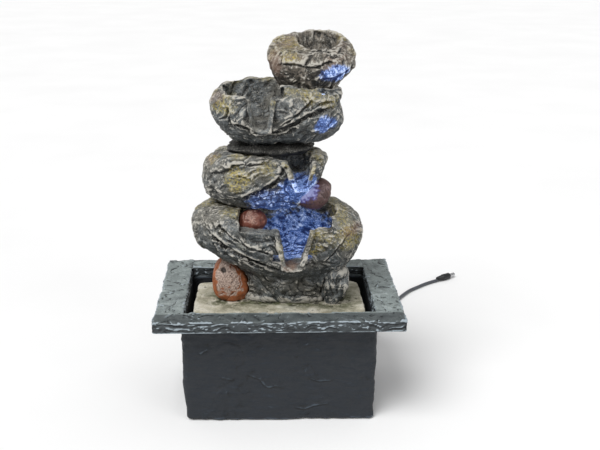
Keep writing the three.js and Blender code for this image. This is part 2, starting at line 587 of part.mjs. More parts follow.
function makeCascade() {
  const cascade = new THREE.Group();
  cascade.position.z = plinthTopZ;
  const hoseBore = solid(bar('z', hoseOuter / 2 + gap, hosePlace, -plinthTop - 5, hoseTop + 20));
  const channelDiameter = leadDiameter + 2 * cutGap;
  const channels = Object.values(leadRoutes).map((route) => {
    return solid(cable(route, channelDiameter, 6, leadSteps));
  });
  const bores = [hoseBore, ...channels];

  const plinthFoot = floorZ + gap - plinthTopZ;
  const block = tapered(plinthSides(0, false), plinthSides(0, true), plinthFoot, 0, plinthCorner);
  const room = tapered(plinthSides(plinthWall, false), plinthSides(plinthWall, true), plinthFoot - 1,
    -plinthTop, plinthCorner - plinthWall);
  const [left, right, front, rear] = plinthSides(0, true);
  const archTop = plinthFoot + archHeight;
  const edge = plinthCorner + archMargin;
  const along = box(left - 10, right + 10, front + edge, rear - edge, plinthFoot - 1, archTop);
  const across = box(left + edge, right - edge, front - 10, rear + 10, plinthFoot - 1, archTop);
  const hollowed = cut(solid(block), solid(room), solid(along), solid(across), ...bores);
  place(cascade, 'plinth', hollowed, sandstone);

  // Lowest bowl: a basin open to the front, its left and right ears standing over it.
  const lowestPool = solid(stone([[54, -12, 34, -52, -6], [62, -26, 50, -52, 1], [74, -34, 59, -48, 4],
    [88, -37, 60, -46, 5], [112, -36, 60, -46, 6]], { relief: 2, seed: 2, sides: 16 }));
  const lowestFront = solid(box(-40, 52, -80, -14, 89, 130));
  const lowestSpout = { top: [-2, 33], floor: [7, 19], high: 91, low: 53, front: -61, rear: -30 };
  place(cascade, 'lowest_bowl', cut(
    join(lowestBowl.whole, solid(trough(lowestSpout, 4))),
    lowestPool, lowestFront, solid(trough({ ...lowestSpout, front: -70, high: 93 })),
    thirdBowl.larger, heelStone.larger, orangePebble.larger, redPebble.larger, plumPebble.larger,
    lampPocket(lampPlaces.lower), ...bores), rock);

  const thirdPool = solid(stone([[135, 6, 28, -50, -16], [143, -6, 33, -44, -8], [153, -12, 34, -40, -4],
    [168, -12, 35, -40, -2]], { relief: 1, seed: 1, sides: 14 }));
  const thirdSpout = { top: [6, 34], floor: [19, 26], high: 157, low: 133, front: -53, rear: -24 };
  place(cascade, 'third_bowl', cut(
    join(thirdBowl.whole, solid(trough(thirdSpout, 3.5))),
    thirdPool, solid(trough({ ...thirdSpout, front: -62, high: 159 })),
    flatStone.larger, plumPebble.larger, redPebble.larger, lampPocket(lampPlaces.middle), ...bores), rock);

  place(cascade, 'flat_stone', cut(flatStone.whole, secondBowl.larger, ...bores), rock);

  const secondPool = solid(stone([[195, -36, -8, -40, 6], [202, -48, -2, -42, 14], [214, -56, 4, -40, 20],
    [226, -58, 6, -40, 22], [240, -58, 6, -40, 22]], { relief: 2, seed: 3, sides: 16 }));
  const secondSpout = { top: [-28, -7], floor: [-24, -12], high: 221, low: 191, front: -57, rear: -30 };
  const secondFront = solid(box(-52, 4, -80, -28, 221.5, 245));
  place(cascade, 'second_bowl', cut(
    join(secondBowl.whole, solid(trough(secondSpout, 3.5))),
    secondPool, secondFront, solid(trough({ ...secondSpout, front: -66, high: 223 })),
    topBowl.larger, lampPocket(lampPlaces.upper), ...bores), rock);

  const crater = solid(stone([[hoseTop - 4, 24, 48, 4, 27], [251, 23, 53, -2, 28], [259, 22, 58, -9, 29],
    [268, 19, 62, -17, 31], [285, 10, 72, -28, 36]], { relief: 1, seed: 2, sides: 16 }));
  place(cascade, 'top_bowl', cut(topBowl.whole, crater, ...bores), rockPale);

  place(cascade, 'heel_stone', cut(heelStone.whole, ...bores), rock);
  place(cascade, 'orange_pebble', orangePebble.whole, orangeStone);
  place(cascade, 'red_pebble', cut(redPebble.whole, thirdBowl.larger), redStone);
  place(cascade, 'plum_pebble', cut(plumPebble.whole, ...bores), plumStone);

  const hoseBottom = pumpTopZ + nozzleHeight - nozzleGrip - plinthTopZ;
  const hose = ring('z', hoseInner / 2, hoseOuter / 2, hosePlace, hoseBottom, hoseTop, 16);
  place(cascade, 'riser_hose', hose, clearHose);

  for (const [level, [x, y, z]] of Object.entries(lampPlaces)) {
    const body = bar('z', lampDiameter / 2, [x, y], z - lampHeight, z - lensHeight - gap, 16);
    place(cascade, `lamp_${level}`, body, blackPlastic);
    const lens = turned('z', [[0, z - lensHeight], [lampDiameter / 2, z - lensHeight],
      [lampDiameter / 2, z - lensHeight / 2], [lampDiameter / 3, z], [0, z]], [x, y], 16);
    place(cascade, `lamp_lens_${level}`, lens, lampLens);
    place(cascade, `lamp_lead_${level}`, cable(leadRoutes[level], leadDiameter, 6, leadSteps), cordSheath);
  }

  const [plugWidth, plugDepth, plugHeight] = plugSize;
  const [tongueWidth, tongueDepth, tongueHeight] = plugTongue;
  const plugFloor = plugTopZ - plugHeight;
  const shell = roundedBox(...aroundLead(plugWidth, plugDepth), plugFloor, plugTopZ, 1);
  const tongue = box(...aroundLead(tongueWidth, tongueDepth), plugFloor - gap - tongueHeight, plugFloor + 2);
  place(cascade, 'lamp_plug', join(solid(shell), solid(tongue)), blackPlastic);
  return cascade;
}

// ---- cord -----------------------------------------------------------------------------------------

function makeCord() {
  const cord = new THREE.Group();
  const rest = cordDiameter / 2;
  const [glandX, glandZ] = glandPlace;
  const exitY = halfTub[1] + gap + glandFlangeThickness + glandTaper + gap;
  const drop = [[glandX, exitY, glandZ], [glandX, exitY + 9, glandZ - 1],
    [glandX + 1, exitY + 19, glandZ - 8], [glandX + 2, exitY + 27, glandZ - 22],
    [glandX + 4, exitY + 33, glandZ - 42], [glandX + 7, exitY + 36, glandZ - 62],
    [glandX + 12, exitY + 38, glandZ - 78], [glandX + 20, exitY + 39, 6.5],
    [glandX + 30, exitY + 39, rest + 0.4], [glandX + 42, exitY + 38, rest], [64.5, 126, rest]];
  place(cord, 'cord_drop', cable(drop, cordDiameter, 8, 20), cordSheath);

  const [coilX, coilY] = coilCentre;
  const half = coilBand * cordDiameter / 2;
  const coilTop = coilLift + coilBand * cordDiameter;
  const coil = ring('z', coilRadius - half, coilRadius + half, coilCentre, coilLift, coilTop, 32);
  place(cord, 'cord_coil', coil, cordSheath);

  const tail = [[122.4, 160, rest], [127, 170, rest], [133, 184, rest], [139, 200, rest], [146, 220, rest],
    [153, 238, rest], [161, 256, rest], [169, 272, rest], [178, 287, rest], [188, 301, rest],
    [200, 313, rest], [210, 323, rest], [221, 332, rest], [231, 339, rest]];
  place(cord, 'cord_tail', cable(tail, cordDiameter, 8, 22), cordSheath);

  const inside = half + gap;
  const outside = inside + tieThickness;
  const middle = (coilLift + coilTop) / 2;
  const band = frameShape([outside, outside], [inside, inside]);
  const tie = new THREE.ExtrudeGeometry(band, { depth: tieWidth, bevelEnabled: false });
  tie.rotateX(Math.PI / 2).translate(coilX - coilRadius, coilY + tieWidth / 2, middle);
  place(cord, 'cord_tie', tie, blackPlastic);

  const plug = new THREE.Group();
  const [endX, endY] = tail[tail.length - 1];
  const [beforeX, beforeY] = tail[tail.length - 2];
  plug.position.set(endX, endY, connectorDiameter / 2);
  plug.rotation.z = Math.atan2(endY - beforeY, endX - beforeX);
  const body = turned('x', [[0, gap], [cordDiameter / 2 + 0.8, gap], [connectorDiameter / 2 - 0.6, 9],
    [connectorDiameter / 2, 10], [connectorDiameter / 2, connectorLength], [0, connectorLength]], [0, 0]);
  place(plug, 'cord_connector', body, blackPlastic);
  const barrelStart = connectorLength + gap;
  const barrel = ring('x', 1.2, barrelDiameter / 2, [0, 0], barrelStart, barrelStart + barrelLength, 16);
  place(plug, 'connector_barrel', barrel, nickel);
  cord.add(plug);
  return cord;
}

const fountain = new THREE.Group();
fountain.add(makeBasin(), makePump(), makeRotor(), makeStrainer(), makeRegulator(), makeCascade());
fountain.add(makeCord());

export default fountain;
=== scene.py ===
"""The looks of a tabletop water fountain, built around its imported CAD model.

The frame is in metres, +Z up, with the table at z = 0. Sculpting works in millimetres, in arrays of
points, and each finished mesh goes back to metres.
"""

import json
import math

import bmesh
import bpy
import numpy as np
from mathutils import Matrix, Vector
from mathutils.bvhtree import BVHTree


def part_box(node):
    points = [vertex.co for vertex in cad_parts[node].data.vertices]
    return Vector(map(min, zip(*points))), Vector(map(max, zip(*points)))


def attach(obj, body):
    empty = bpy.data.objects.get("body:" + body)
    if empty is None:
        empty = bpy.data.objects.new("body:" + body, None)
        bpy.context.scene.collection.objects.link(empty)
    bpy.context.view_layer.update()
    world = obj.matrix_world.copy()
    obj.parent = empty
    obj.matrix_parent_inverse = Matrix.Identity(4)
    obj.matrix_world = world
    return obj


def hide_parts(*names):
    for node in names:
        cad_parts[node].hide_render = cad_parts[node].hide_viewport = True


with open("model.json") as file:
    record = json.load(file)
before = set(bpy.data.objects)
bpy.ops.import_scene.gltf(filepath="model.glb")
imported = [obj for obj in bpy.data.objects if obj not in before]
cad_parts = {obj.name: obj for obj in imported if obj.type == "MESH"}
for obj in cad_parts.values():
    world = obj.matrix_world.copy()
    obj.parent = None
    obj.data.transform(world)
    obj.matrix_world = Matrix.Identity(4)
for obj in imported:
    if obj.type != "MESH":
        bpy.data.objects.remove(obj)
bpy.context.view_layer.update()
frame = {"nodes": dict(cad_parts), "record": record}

MM = 0.001
ALONG_X = (1, 0, 0)
ALONG_Y = (0, 1, 0)


def new_object(name, data):
    piece = bpy.data.objects.new(name, data)
    bpy.context.scene.collection.objects.link(piece)
    return piece


# ---- camera ----

def make_camera():
    """A 60 mm lens, a metre in front of the fountain and half a metre up."""
    data = bpy.data.cameras.new("camera")
    data.lens = 60
    data.sensor_width = 36
    camera = new_object("camera", data)
    camera.location = (-0.0138, -0.9999, 0.4948)
    turn = Matrix.Rotation(math.radians(-2.066), 4, "Z")
    tilt = Matrix.Rotation(math.radians(73.054), 4, "X")
    roll = Matrix.Rotation(math.radians(0.27), 4, "Z")
    camera.rotation_euler = (turn @ tilt @ roll).to_euler()
    bpy.context.scene.camera = camera


make_camera()


# ---- shader helpers ----

def tone(red, green, blue):
    """A shader colour from screen values, 0 to 255."""
    def linear(value):
        value /= 255
        return value / 12.92 if value <= 0.04045 else ((value + 0.055) / 1.055) ** 2.4
    return (linear(red), linear(green), linear(blue), 1.0)


class Shader:
    """A material under construction: one Principled shader and the nodes that feed it. A mesh that
    lacks a value counts as 0 in `value`."""

    def __init__(self, name, roughness, metallic=0.0):
        self.material = bpy.data.materials.new(name)
        self.material.use_nodes = True
        self.tree = self.material.node_tree
        self.tree.nodes.clear()
        output = self.tree.nodes.new("ShaderNodeOutputMaterial")
        self.surface = self.tree.nodes.new("ShaderNodeBsdfPrincipled")
        self.surface.inputs["Roughness"].default_value = roughness
        self.surface.inputs["Metallic"].default_value = metallic
        self.tree.links.new(self.surface.outputs[0], output.inputs["Surface"])
        self.place = self.add("TexCoord").outputs["Object"]
        self.base = None

    def add(self, kind, inputs=None, **settings):
        """A node of a kind, with settings, whose sockets are fed by name."""
        node = self.tree.nodes.new("ShaderNode" + kind)
        for key, value in settings.items():
            setattr(node, key, value)
        for key, value in (inputs or {}).items():
            self.join(value, node.inputs[key])
        return node

    def join(self, value, socket):
        """Links another node's output to a socket, or writes a plain value on it."""
        if isinstance(value, bpy.types.NodeSocket):
            self.tree.links.new(value, socket)
        else:
            socket.default_value = value

    def set(self, **inputs):
        """Feeds the Principled shader's sockets."""
        for key, value in inputs.items():
            self.join(value, self.surface.inputs[key.replace("_", " ")])

    def stretched(self, x, y, z):
        """Object coordinates scaled along the axes, so that patterns stretch."""
        return self.add("Mapping", {"Vector": self.place, "Scale": (x, y, z)}).outputs[0]

    def noise(self, scale, detail, rough=0.55, where=None, warp=0.0):
        inputs = {"Vector": where or self.place, "Scale": scale, "Detail": detail, "Roughness": rough,
                  "Distortion": warp}
        return self.add("TexNoise", inputs).outputs["Fac"]

    def cells(self, scale):
        return self.add("TexVoronoi", {"Vector": self.place, "Scale": scale}).outputs["Distance"]

    def value(self, name):
        """A mesh attribute."""
        return self.add("Attribute", attribute_name=name).outputs["Fac"]

    def maths(self, operation, first, second, clamp=False):
        node = self.add("Math", operation=operation, use_clamp=clamp)
        self.join(first, node.inputs[0])
        self.join(second, node.inputs[1])
        return node.outputs[0]

    def fit(self, value, low, high, to_low=0.0, to_high=1.0):
        """Maps low..high to to_low..to_high, smoothly and clamped."""
        inputs = {"Value": value, "From Min": low, "From Max": high, "To Min": to_low, "To Max": to_high}
        return self.add("MapRange", inputs, interpolation_type="SMOOTHSTEP").outputs["Result"]

    def times(self, first, second):
        return self.maths("MULTIPLY", first, second)

    def blend(self, factor, first, second):
        """The first colour where the factor is 0, the second where it is 1."""
        node = self.add("Mix", data_type="RGBA")
        colour_inputs = [socket for socket in node.inputs if socket.type == "RGBA"]
        self.join(factor, node.inputs[0])
        self.join(first, colour_inputs[0])
        self.join(second, colour_inputs[1])
        return next(socket for socket in node.outputs if socket.type == "RGBA")

    def paint(self, factor, colour):
        """A further coat over the base colour."""
        self.base = self.blend(factor, self.base, colour)

    def ramp(self, factor, *stops):
        """A colour ramp. Each stop is a position and a colour."""
        node = self.add("ValToRGB", {"Fac": factor})
        elements = node.color_ramp.elements
        while len(elements) < len(stops):
            elements.new(0.5)
        for element, (position, colour) in zip(elements, stops):
            element.position = position
            element.color = colour
        return node.outputs["Color"]

    def bump(self, height, depth, under=None):
        """A bump of `depth` metres from a 0 to 1 height."""
        inputs = {"Height": height, "Distance": depth, "Strength": 1.0}
        if under:
            inputs["Normal"] = under
        return self.add("Bump", inputs).outputs["Normal"]


# ---- small materials ----

def shaded(colour, factor, lift=0.0):
    """A colour made darker or lighter."""
    return tuple(min(1.0, channel * factor + lift) for channel in colour[:3]) + (1.0,)


def moulded(name, colour, roughness, grain=1400, depth=0.00006):
    """Moulded plastic or rubber: fine texture, slight colour drift and rubbed patches."""
    shader = Shader(name, roughness)
    drift = shader.noise(90, 4)
    fine = shader.noise(grain, 2)
    light = shaded(colour, 1.5, 0.01)
    shader.base = shader.ramp(drift, (0.3, shaded(colour, 0.7)), (0.55, colour), (0.8, light))
    scuffs = shader.fit(shader.noise(260, 5, 0.7, warp=1.5), 0.62, 0.72, 0.0, 0.25)
    shader.set(Base_Color=shader.blend(scuffs, shader.base, light))
    shader.set(Roughness=shader.fit(drift, 0.2, 0.8, roughness - 0.08, min(1.0, roughness + 0.1)))
    shader.set(Normal=shader.bump(fine, depth))
    return shader.material


def clear_hose():
    """Soft clear PVC, a little cloudy."""
    shader = Shader("hose_pvc", 0.22)
    cloud = shader.noise(120, 3)
    shader.set(Base_Color=shader.ramp(cloud, (0.3, tone(176, 186, 180)), (0.7, tone(214, 219, 214))))
    shader.set(Roughness=shader.fit(cloud, 0.3, 0.7, 0.16, 0.34))
    shader.set(Normal=shader.bump(shader.noise(300, 2), 0.00005))
    shader.surface.inputs["Transmission Weight"].default_value = 0.35
    shader.surface.inputs["Subsurface Weight"].default_value = 0.15
    return shader.material


def lit_lens():
    """A lamp's lens, faintly alight in blue-white."""
    shader = Shader("lamp_lens", 0.12)
    rings = shader.noise(800, 2)
    colour = shader.ramp(rings, (0.3, tone(150, 185, 255)), (0.7, tone(225, 238, 255)))
    shader.set(Base_Color=colour, Emission_Color=colour)
    shader.surface.inputs["Emission Strength"].default_value = 0.8
    shader.set(Normal=shader.bump(rings, 0.00004))
    return shader.material


def metal(name, colour, roughness):
    """Drawn metal with fine hairlines."""
    shader = Shader(name, roughness, 1.0)
    hairs = shader.noise(500, 3, where=shader.stretched(0.2, 1, 1))
    shader.set(Base_Color=shader.ramp(hairs, (0.3, colour), (0.7, shaded(colour, 1.15))))
    shader.set(Roughness=shader.fit(hairs, 0.3, 0.7, roughness * 0.7, roughness * 1.4))
    shader.set(Normal=shader.bump(hairs, 0.00002))
    return shader.material


MATERIALS = {
    "black_plastic": moulded("black_plastic", tone(24, 25, 27), 0.45),
    "grey_plastic": moulded("grey_plastic", tone(66, 70, 74), 0.4),
    "black_rubber": moulded("black_rubber", tone(30, 30, 31), 0.82, grain=900, depth=0.0001),
    "cord_pvc": moulded("cord_pvc", tone(72, 76, 82), 0.38, grain=700, depth=0.00004),
    "ferrite": moulded("ferrite", tone(58, 56, 54), 0.5, grain=2200),
    "ceramic": moulded("ceramic", tone(228, 226, 218), 0.22, grain=2600, depth=0.00002),
    "hose_pvc": clear_hose(),
    "lamp_lens": lit_lens(),
    "nickel": metal("nickel", tone(190, 190, 192), 0.22),
}


# ---- pieces ----

def body_of(node):
    return next(name for name, nodes in frame["record"]["behaviour"]["bodies"].items() if node in nodes)


def slot_of(node):
    return next(part["material_slot"] for part in frame["record"]["subparts"] if part["node"] == node)


def finish_piece(piece, node, material=None):
    """Gives a piece its material, the one for its CAD node's slot unless another is given, puts it on its
    body and hides the CAD node that it stands for.
    """
    piece.data.materials.clear()
    piece.data.materials.append(material or MATERIALS[slot_of(node)])
    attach(piece, body_of(node))
    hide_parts(node)
    return piece


def into_piece(made, name, matrix, sharp):
    """Places a shape, turns it into an object and shades it smooth up to an angle in degrees."""
    bmesh.ops.recalc_face_normals(made, faces=made.faces)
    made.transform(matrix)
    mesh = bpy.data.meshes.new(name)
    made.to_mesh(mesh)
    made.free()
    mesh.shade_smooth()
    mesh.set_sharp_from_angle(angle=math.radians(sharp))
    return new_object(name, mesh)


TURNED_SIDES = 48


def ring(made, radius, along):
    """A loop of points round +Z, or one point where the radius is 0. Lengths are in mm."""
    if radius == 0:
        return [made.verts.new((0, 0, along * MM))]
    angles = [2 * math.pi * i / TURNED_SIDES for i in range(TURNED_SIDES)]
    reach = radius * MM
    return [made.verts.new((reach * math.cos(a), reach * math.sin(a), along * MM)) for a in angles]


def turned(name, profile, start, direction):
    """A body turned about an axis. The profile is (radius, distance along the axis) in mm, from one
    end to the other, and closes on the axis or on itself."""
    made = bmesh.new()
    loops = [ring(made, radius, along) for radius, along in profile]
    pairs = list(zip(loops, loops[1:]))
    if profile[0][0] != 0:
        pairs.append((loops[-1], loops[0]))
    for low, high in pairs:
        for i in range(TURNED_SIDES):
            j = i + 1
            corners = [low[i % len(low)], low[j % len(low)], high[j % len(high)], high[i % len(high)]]
            distinct = list(dict.fromkeys(corners))
            if len(distinct) > 2:
                made.faces.new(distinct)
    turn = Vector(direction).normalized().to_track_quat("Z", "Y").to_matrix().to_4x4()
    return into_piece(made, name, Matrix.Translation(Vector(start)) @ turn, 40)


# ---- cord ----

def smooth(value, low, high):
    """0 at low, 1 at high, with a soft start and end, for a number or an array."""
    share = np.clip((value - low) / (high - low), 0, 1)
    return share * share * (3 - 2 * share)


CORD = 4.5                        # diameter, mm
CORD_FLOOR = 2.4                  # centre height of a lead on the table
COIL_FLOOR = 3.5                  # centre height of the coil's lowest turns
COIL_MIDDLE = (88.0, 152.0)
COIL_RADIUS = 26.0                # middle of the turns
COIL_START = -90.0                # degrees round the coil
COIL_END = 6 * 360 - 17.1
# The turns' places, as columns out from the middle one and rows up from the floor
TURNS = [(0, 0), (-1, 0), (-1, 1), (0, 1), (0, 2), (1, 2), (1, 1), (1, 0)]
CHANGE_EVERY = 313                # degrees from one change of place to the next
CHANGE_WIDTH = 72                 # degrees that a change takes
LAST_CHANGE = 43                  # degrees from the last change's middle to the coil's end
LAST_WIDTH = 50
COIL_STEP = 20                    # degrees between points
LEAD_RISE = 60                    # degrees in which the lead climbs to the lowest turns' height

DROP = [(10, 89, 92), (10, 98, 91), (11, 108, 84), (12, 116, 70), (14, 122, 50), (17, 125, 30), (22, 127, 14),
        (30, 128, 6.5), (40, 128, 2.8), (52, 127, CORD_FLOOR), (64.5, 126, CORD_FLOOR), (76, 126, CORD_FLOOR)]
TAIL = [(x, y, CORD_FLOOR) for x, y in [
    (122.4, 160), (127, 170), (133, 184), (139, 200), (146, 220), (153, 238), (161, 256),
    (169, 272), (178, 287), (188, 301), (200, 313), (210, 323), (221, 332), (231, 339)]]

CONNECTOR_RADIUS = 4.5
GLAND_OUTSIDE = 15                # the sheath behind the outer plate
GLAND_PLATE = 2.2


def coil_points():
    """The turns, each changing to the next place a little earlier in its round than the last did."""
    early = len(TURNS) - 2
    moves = [(COIL_START + (k + 1) * CHANGE_EVERY, CHANGE_WIDTH) for k in range(early)]
    moves.append((COIL_END - LAST_CHANGE, LAST_WIDTH))
    points = []
    count = round((COIL_END - COIL_START) / COIL_STEP)
    for step in range(count + 1):
        angle = COIL_START + (COIL_END - COIL_START) * step / count
        column, row = TURNS[0]
        for k, (middle, width) in enumerate(moves):
            share = smooth(angle, middle - width / 2, middle + width / 2)
            column += (TURNS[k + 1][0] - TURNS[k][0]) * share
            row += (TURNS[k + 1][1] - TURNS[k][1]) * share
        radius = COIL_RADIUS + column * CORD
        height = COIL_FLOOR + row * CORD
        height -= (COIL_FLOOR - CORD_FLOOR) * (1 - smooth(angle, COIL_START, COIL_START + LEAD_RISE))
        turn = math.radians(angle)
        x = COIL_MIDDLE[0] + radius * math.cos(turn)
        y = COIL_MIDDLE[1] + radius * math.sin(turn)
        points.append((x, y, height))
    return points


def cord_curve():
    """The whole lead as one curve."""
    route = DROP + coil_points() + TAIL
    data = bpy.data.curves.new("power_cord", "CURVE")
    data.dimensions = "3D"
    data.resolution_u = 6
    data.bevel_depth = CORD / 2 * MM
    data.bevel_resolution = 5
    data.use_fill_caps = True
    spline = data.splines.new("BEZIER")
    spline.bezier_points.add(len(route) - 1)
    for point, place in zip(spline.bezier_points, route):
        point.co = Vector(place) * MM
        point.handle_left_type = "AUTO"
        point.handle_right_type = "AUTO"
    cord = new_object("power_cord", data)
    finish_piece(cord, "cord_drop")
    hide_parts("cord_coil", "cord_tail")
    return cord


def connector_pieces():
    """The ribbed grip at the cord's far end, and the contact barrel that stands out of it."""
    heading = Vector(TAIL[-1]) - Vector(TAIL[-2])
    end = Vector((*TAIL[-1][:2], CONNECTOR_RADIUS)) * MM
    grip = [(0, 0.3), (2.7, 0.3), (2.9, 1.0)]
    for rib in range(4):
        along = 2.0 + 1.9 * rib
        swell = 3.2 + 0.2 * rib
        grip += [(swell - 0.5, along), (swell, along + 0.4), (swell, along + 1.1), (swell - 0.5, along + 1.5)]
    grip += [(3.9, 10.0), (4.35, 10.5), (CONNECTOR_RADIUS, 11.2), (CONNECTOR_RADIUS, 22.8), (4.3, 23.6),
             (3.6, 24.0), (0, 24.0)]
    sleeve = [(1.2, 24.3), (2.75, 24.3), (2.75, 33.4), (2.5, 33.8), (1.45, 33.8), (1.2, 33.5)]
    return [finish_piece(turned("cord_connector_grip", grip, end, heading), "cord_connector"),
            finish_piece(turned("connector_contact", sleeve, end, heading), "connector_barrel")]


def gland_piece():
    """The strain relief: a plate on each side of the tub's wall and a ribbed, tapering sheath."""
    low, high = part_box("cord_gland")
    length = (high.y - low.y) / MM
    face = length - GLAND_OUTSIDE - GLAND_PLATE
    outer = face + GLAND_PLATE
    sheath = [(0, 0), (6.1, 0), (6.5, 0.4), (6.5, GLAND_PLATE), (4, GLAND_PLATE), (4, face), (6.5, face),
              (6.5, face + 1.6), (6.0, outer), (4.2, outer)]
    for rib in range(5):
        along = outer + 1.2 + 2.6 * rib
        radius = 4.1 - 0.27 * rib
        groove = radius - 0.7
        sheath += [(radius, along), (radius, along + 1.4), (groove, along + 1.7), (groove, along + 2.3)]
    sheath += [(2.85, length - 0.3), (2.5, length), (0, length)]
    start = ((low.x + high.x) / 2, low.y, (low.z + high.z) / 2)
    return finish_piece(turned("cord_strain_relief", sheath, start, ALONG_Y), "cord_gland")


def make_cord():
    cord = cord_curve()
    connector_pieces()
    gland_piece()
    coil_tie()


def coil_tie():
    """A thin band with rounded corners round the coil."""
    low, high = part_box("cord_tie")
    half = (high.x - low.x) / 2
    width = high.y - low.y
    corner = 1.6 * MM
    thickness = 0.9 * MM
    corner_steps = 6
    outline = []
    for quarter in range(4):
        sign_x = 1 if quarter in (0, 3) else -1
        sign_z = 1 if quarter in (0, 1) else -1
        for step in range(corner_steps + 1):
            angle = (quarter + step / corner_steps) * math.pi / 2
            outline.append((sign_x * (half - corner) + corner * math.cos(angle),
                            sign_z * (half - corner) + corner * math.sin(angle)))
    inside = (half - thickness) / half
    section = [(1.0, -width / 2), (1.0, width / 2), (inside, width / 2), (inside, -width / 2)]
    made = bmesh.new()
    loops = [[made.verts.new((x * scale, across, z * scale)) for x, z in outline]
             for scale, across in section]
    for a, b in zip(loops, loops[1:] + loops[:1]):
        for i in range(len(outline)):
            j = (i + 1) % len(outline)
            made.faces.new((a[i], a[j], b[j], b[i]))
    tie = into_piece(made, "coil_tie", Matrix.Translation((low + high) / 2), 50)
    return finish_piece(tie, "cord_tie")


make_cord()


# ---- numbers for sculpting ----

# The ways from a cube's middle to its twelve edges, which the noise takes as its slopes
EDGES = np.array([(x, y, z) for x in (-1, 0, 1) for y in (-1, 0, 1) for z in (-1, 0, 1)
                  if abs(x) + abs(y) + abs(z) == 2], float)


def hashed(cell, seed):
    """A whole number for each lattice cell, scattered by multiplying with large odd numbers."""
    mixed = cell[:, 0] * 73856093 ^ cell[:, 1] * 19349663 ^ cell[:, 2] * 83492791 ^ (seed + 11) * 40503
    mixed = (mixed ^ (mixed >> 13)) * 1274126177 & 0xFFFFFFFF
    return mixed ^ (mixed >> 15)


def noise(points, size, seed):
    """Smooth noise, about -1 to 1, with bumps about `size` mm apart."""
    scaled = points / size + 3.7 * seed
    cell = np.floor(scaled).astype(np.int64)
    part = scaled - cell
    fade = part ** 3 * (part * (part * 6 - 15) + 10)
    total = np.zeros(len(points))
    for corner in np.ndindex(2, 2, 2):
        gradient = EDGES[hashed(cell + corner, seed) % 12]
        weight = np.prod(np.where(corner, fade, 1 - fade), axis=1)
        total += weight * ((part - corner) * gradient).sum(1)
    return total * 1.2


def layered(points, size, octaves, seed):
    """Noise with finer and lower noise on top of it."""
    return sum(noise(points, size / 2 ** k, seed + 5 * k) / 2 ** k for k in range(octaves))


def ridged(points, size, octaves, seed):
    """Sharp crests at 1 that fall to about 0 between them."""
    parts = [(1 - np.abs(noise(points, size / 2 ** k, seed + 7 * k)) * 2) / 2 ** k for k in range(octaves)]
    return sum(parts) / sum(1 / 2 ** k for k in range(octaves))


def facets(points, size, seed):
    """The distance to the nearest cell edge, in shares of `size`, and a random height per cell."""
    steps = 1021
    scaled = points / size
    cell = np.floor(scaled).astype(np.int64)
    best = np.full((2, len(points)), 9.0)
    height = np.zeros(len(points))
    for corner in np.ndindex(3, 3, 3):
        other = cell + corner - 1
        value = hashed(other, seed)
        jitter = np.stack([value // steps ** k % steps for k in range(3)], 1) / steps
        distance = np.linalg.norm(other + jitter - scaled, axis=1)
        nearer = distance < best[0]
        best[1] = np.where(nearer, best[0], np.minimum(best[1], distance))
        best[0] = np.where(nearer, distance, best[0])
        height = np.where(nearer, value % 97 / 48 - 1, height)
    return best[1] - best[0], height


def drawn_out(points, direction, stretch):
    """Points squeezed along a direction, so that noise on them runs along it."""
    way = np.array(direction, float) / np.linalg.norm(direction)
    return points - np.outer(points @ way, way) * (1 - 1 / stretch)


def wandered(points, size, amount, seed):
    """Points pushed about by noise, so that patterns on them bend."""
    return points + amount * np.stack([noise(points, size, seed + k) for k in (31, 47, 59)], 1)


# ---- sculpted stones ----

def read(elements, name, width, kind=float):
    """One property of a mesh's elements, a row for each."""
    numbers = np.empty(len(elements) * width, kind)
    elements.foreach_get(name, numbers)
    return numbers.reshape(-1, width)


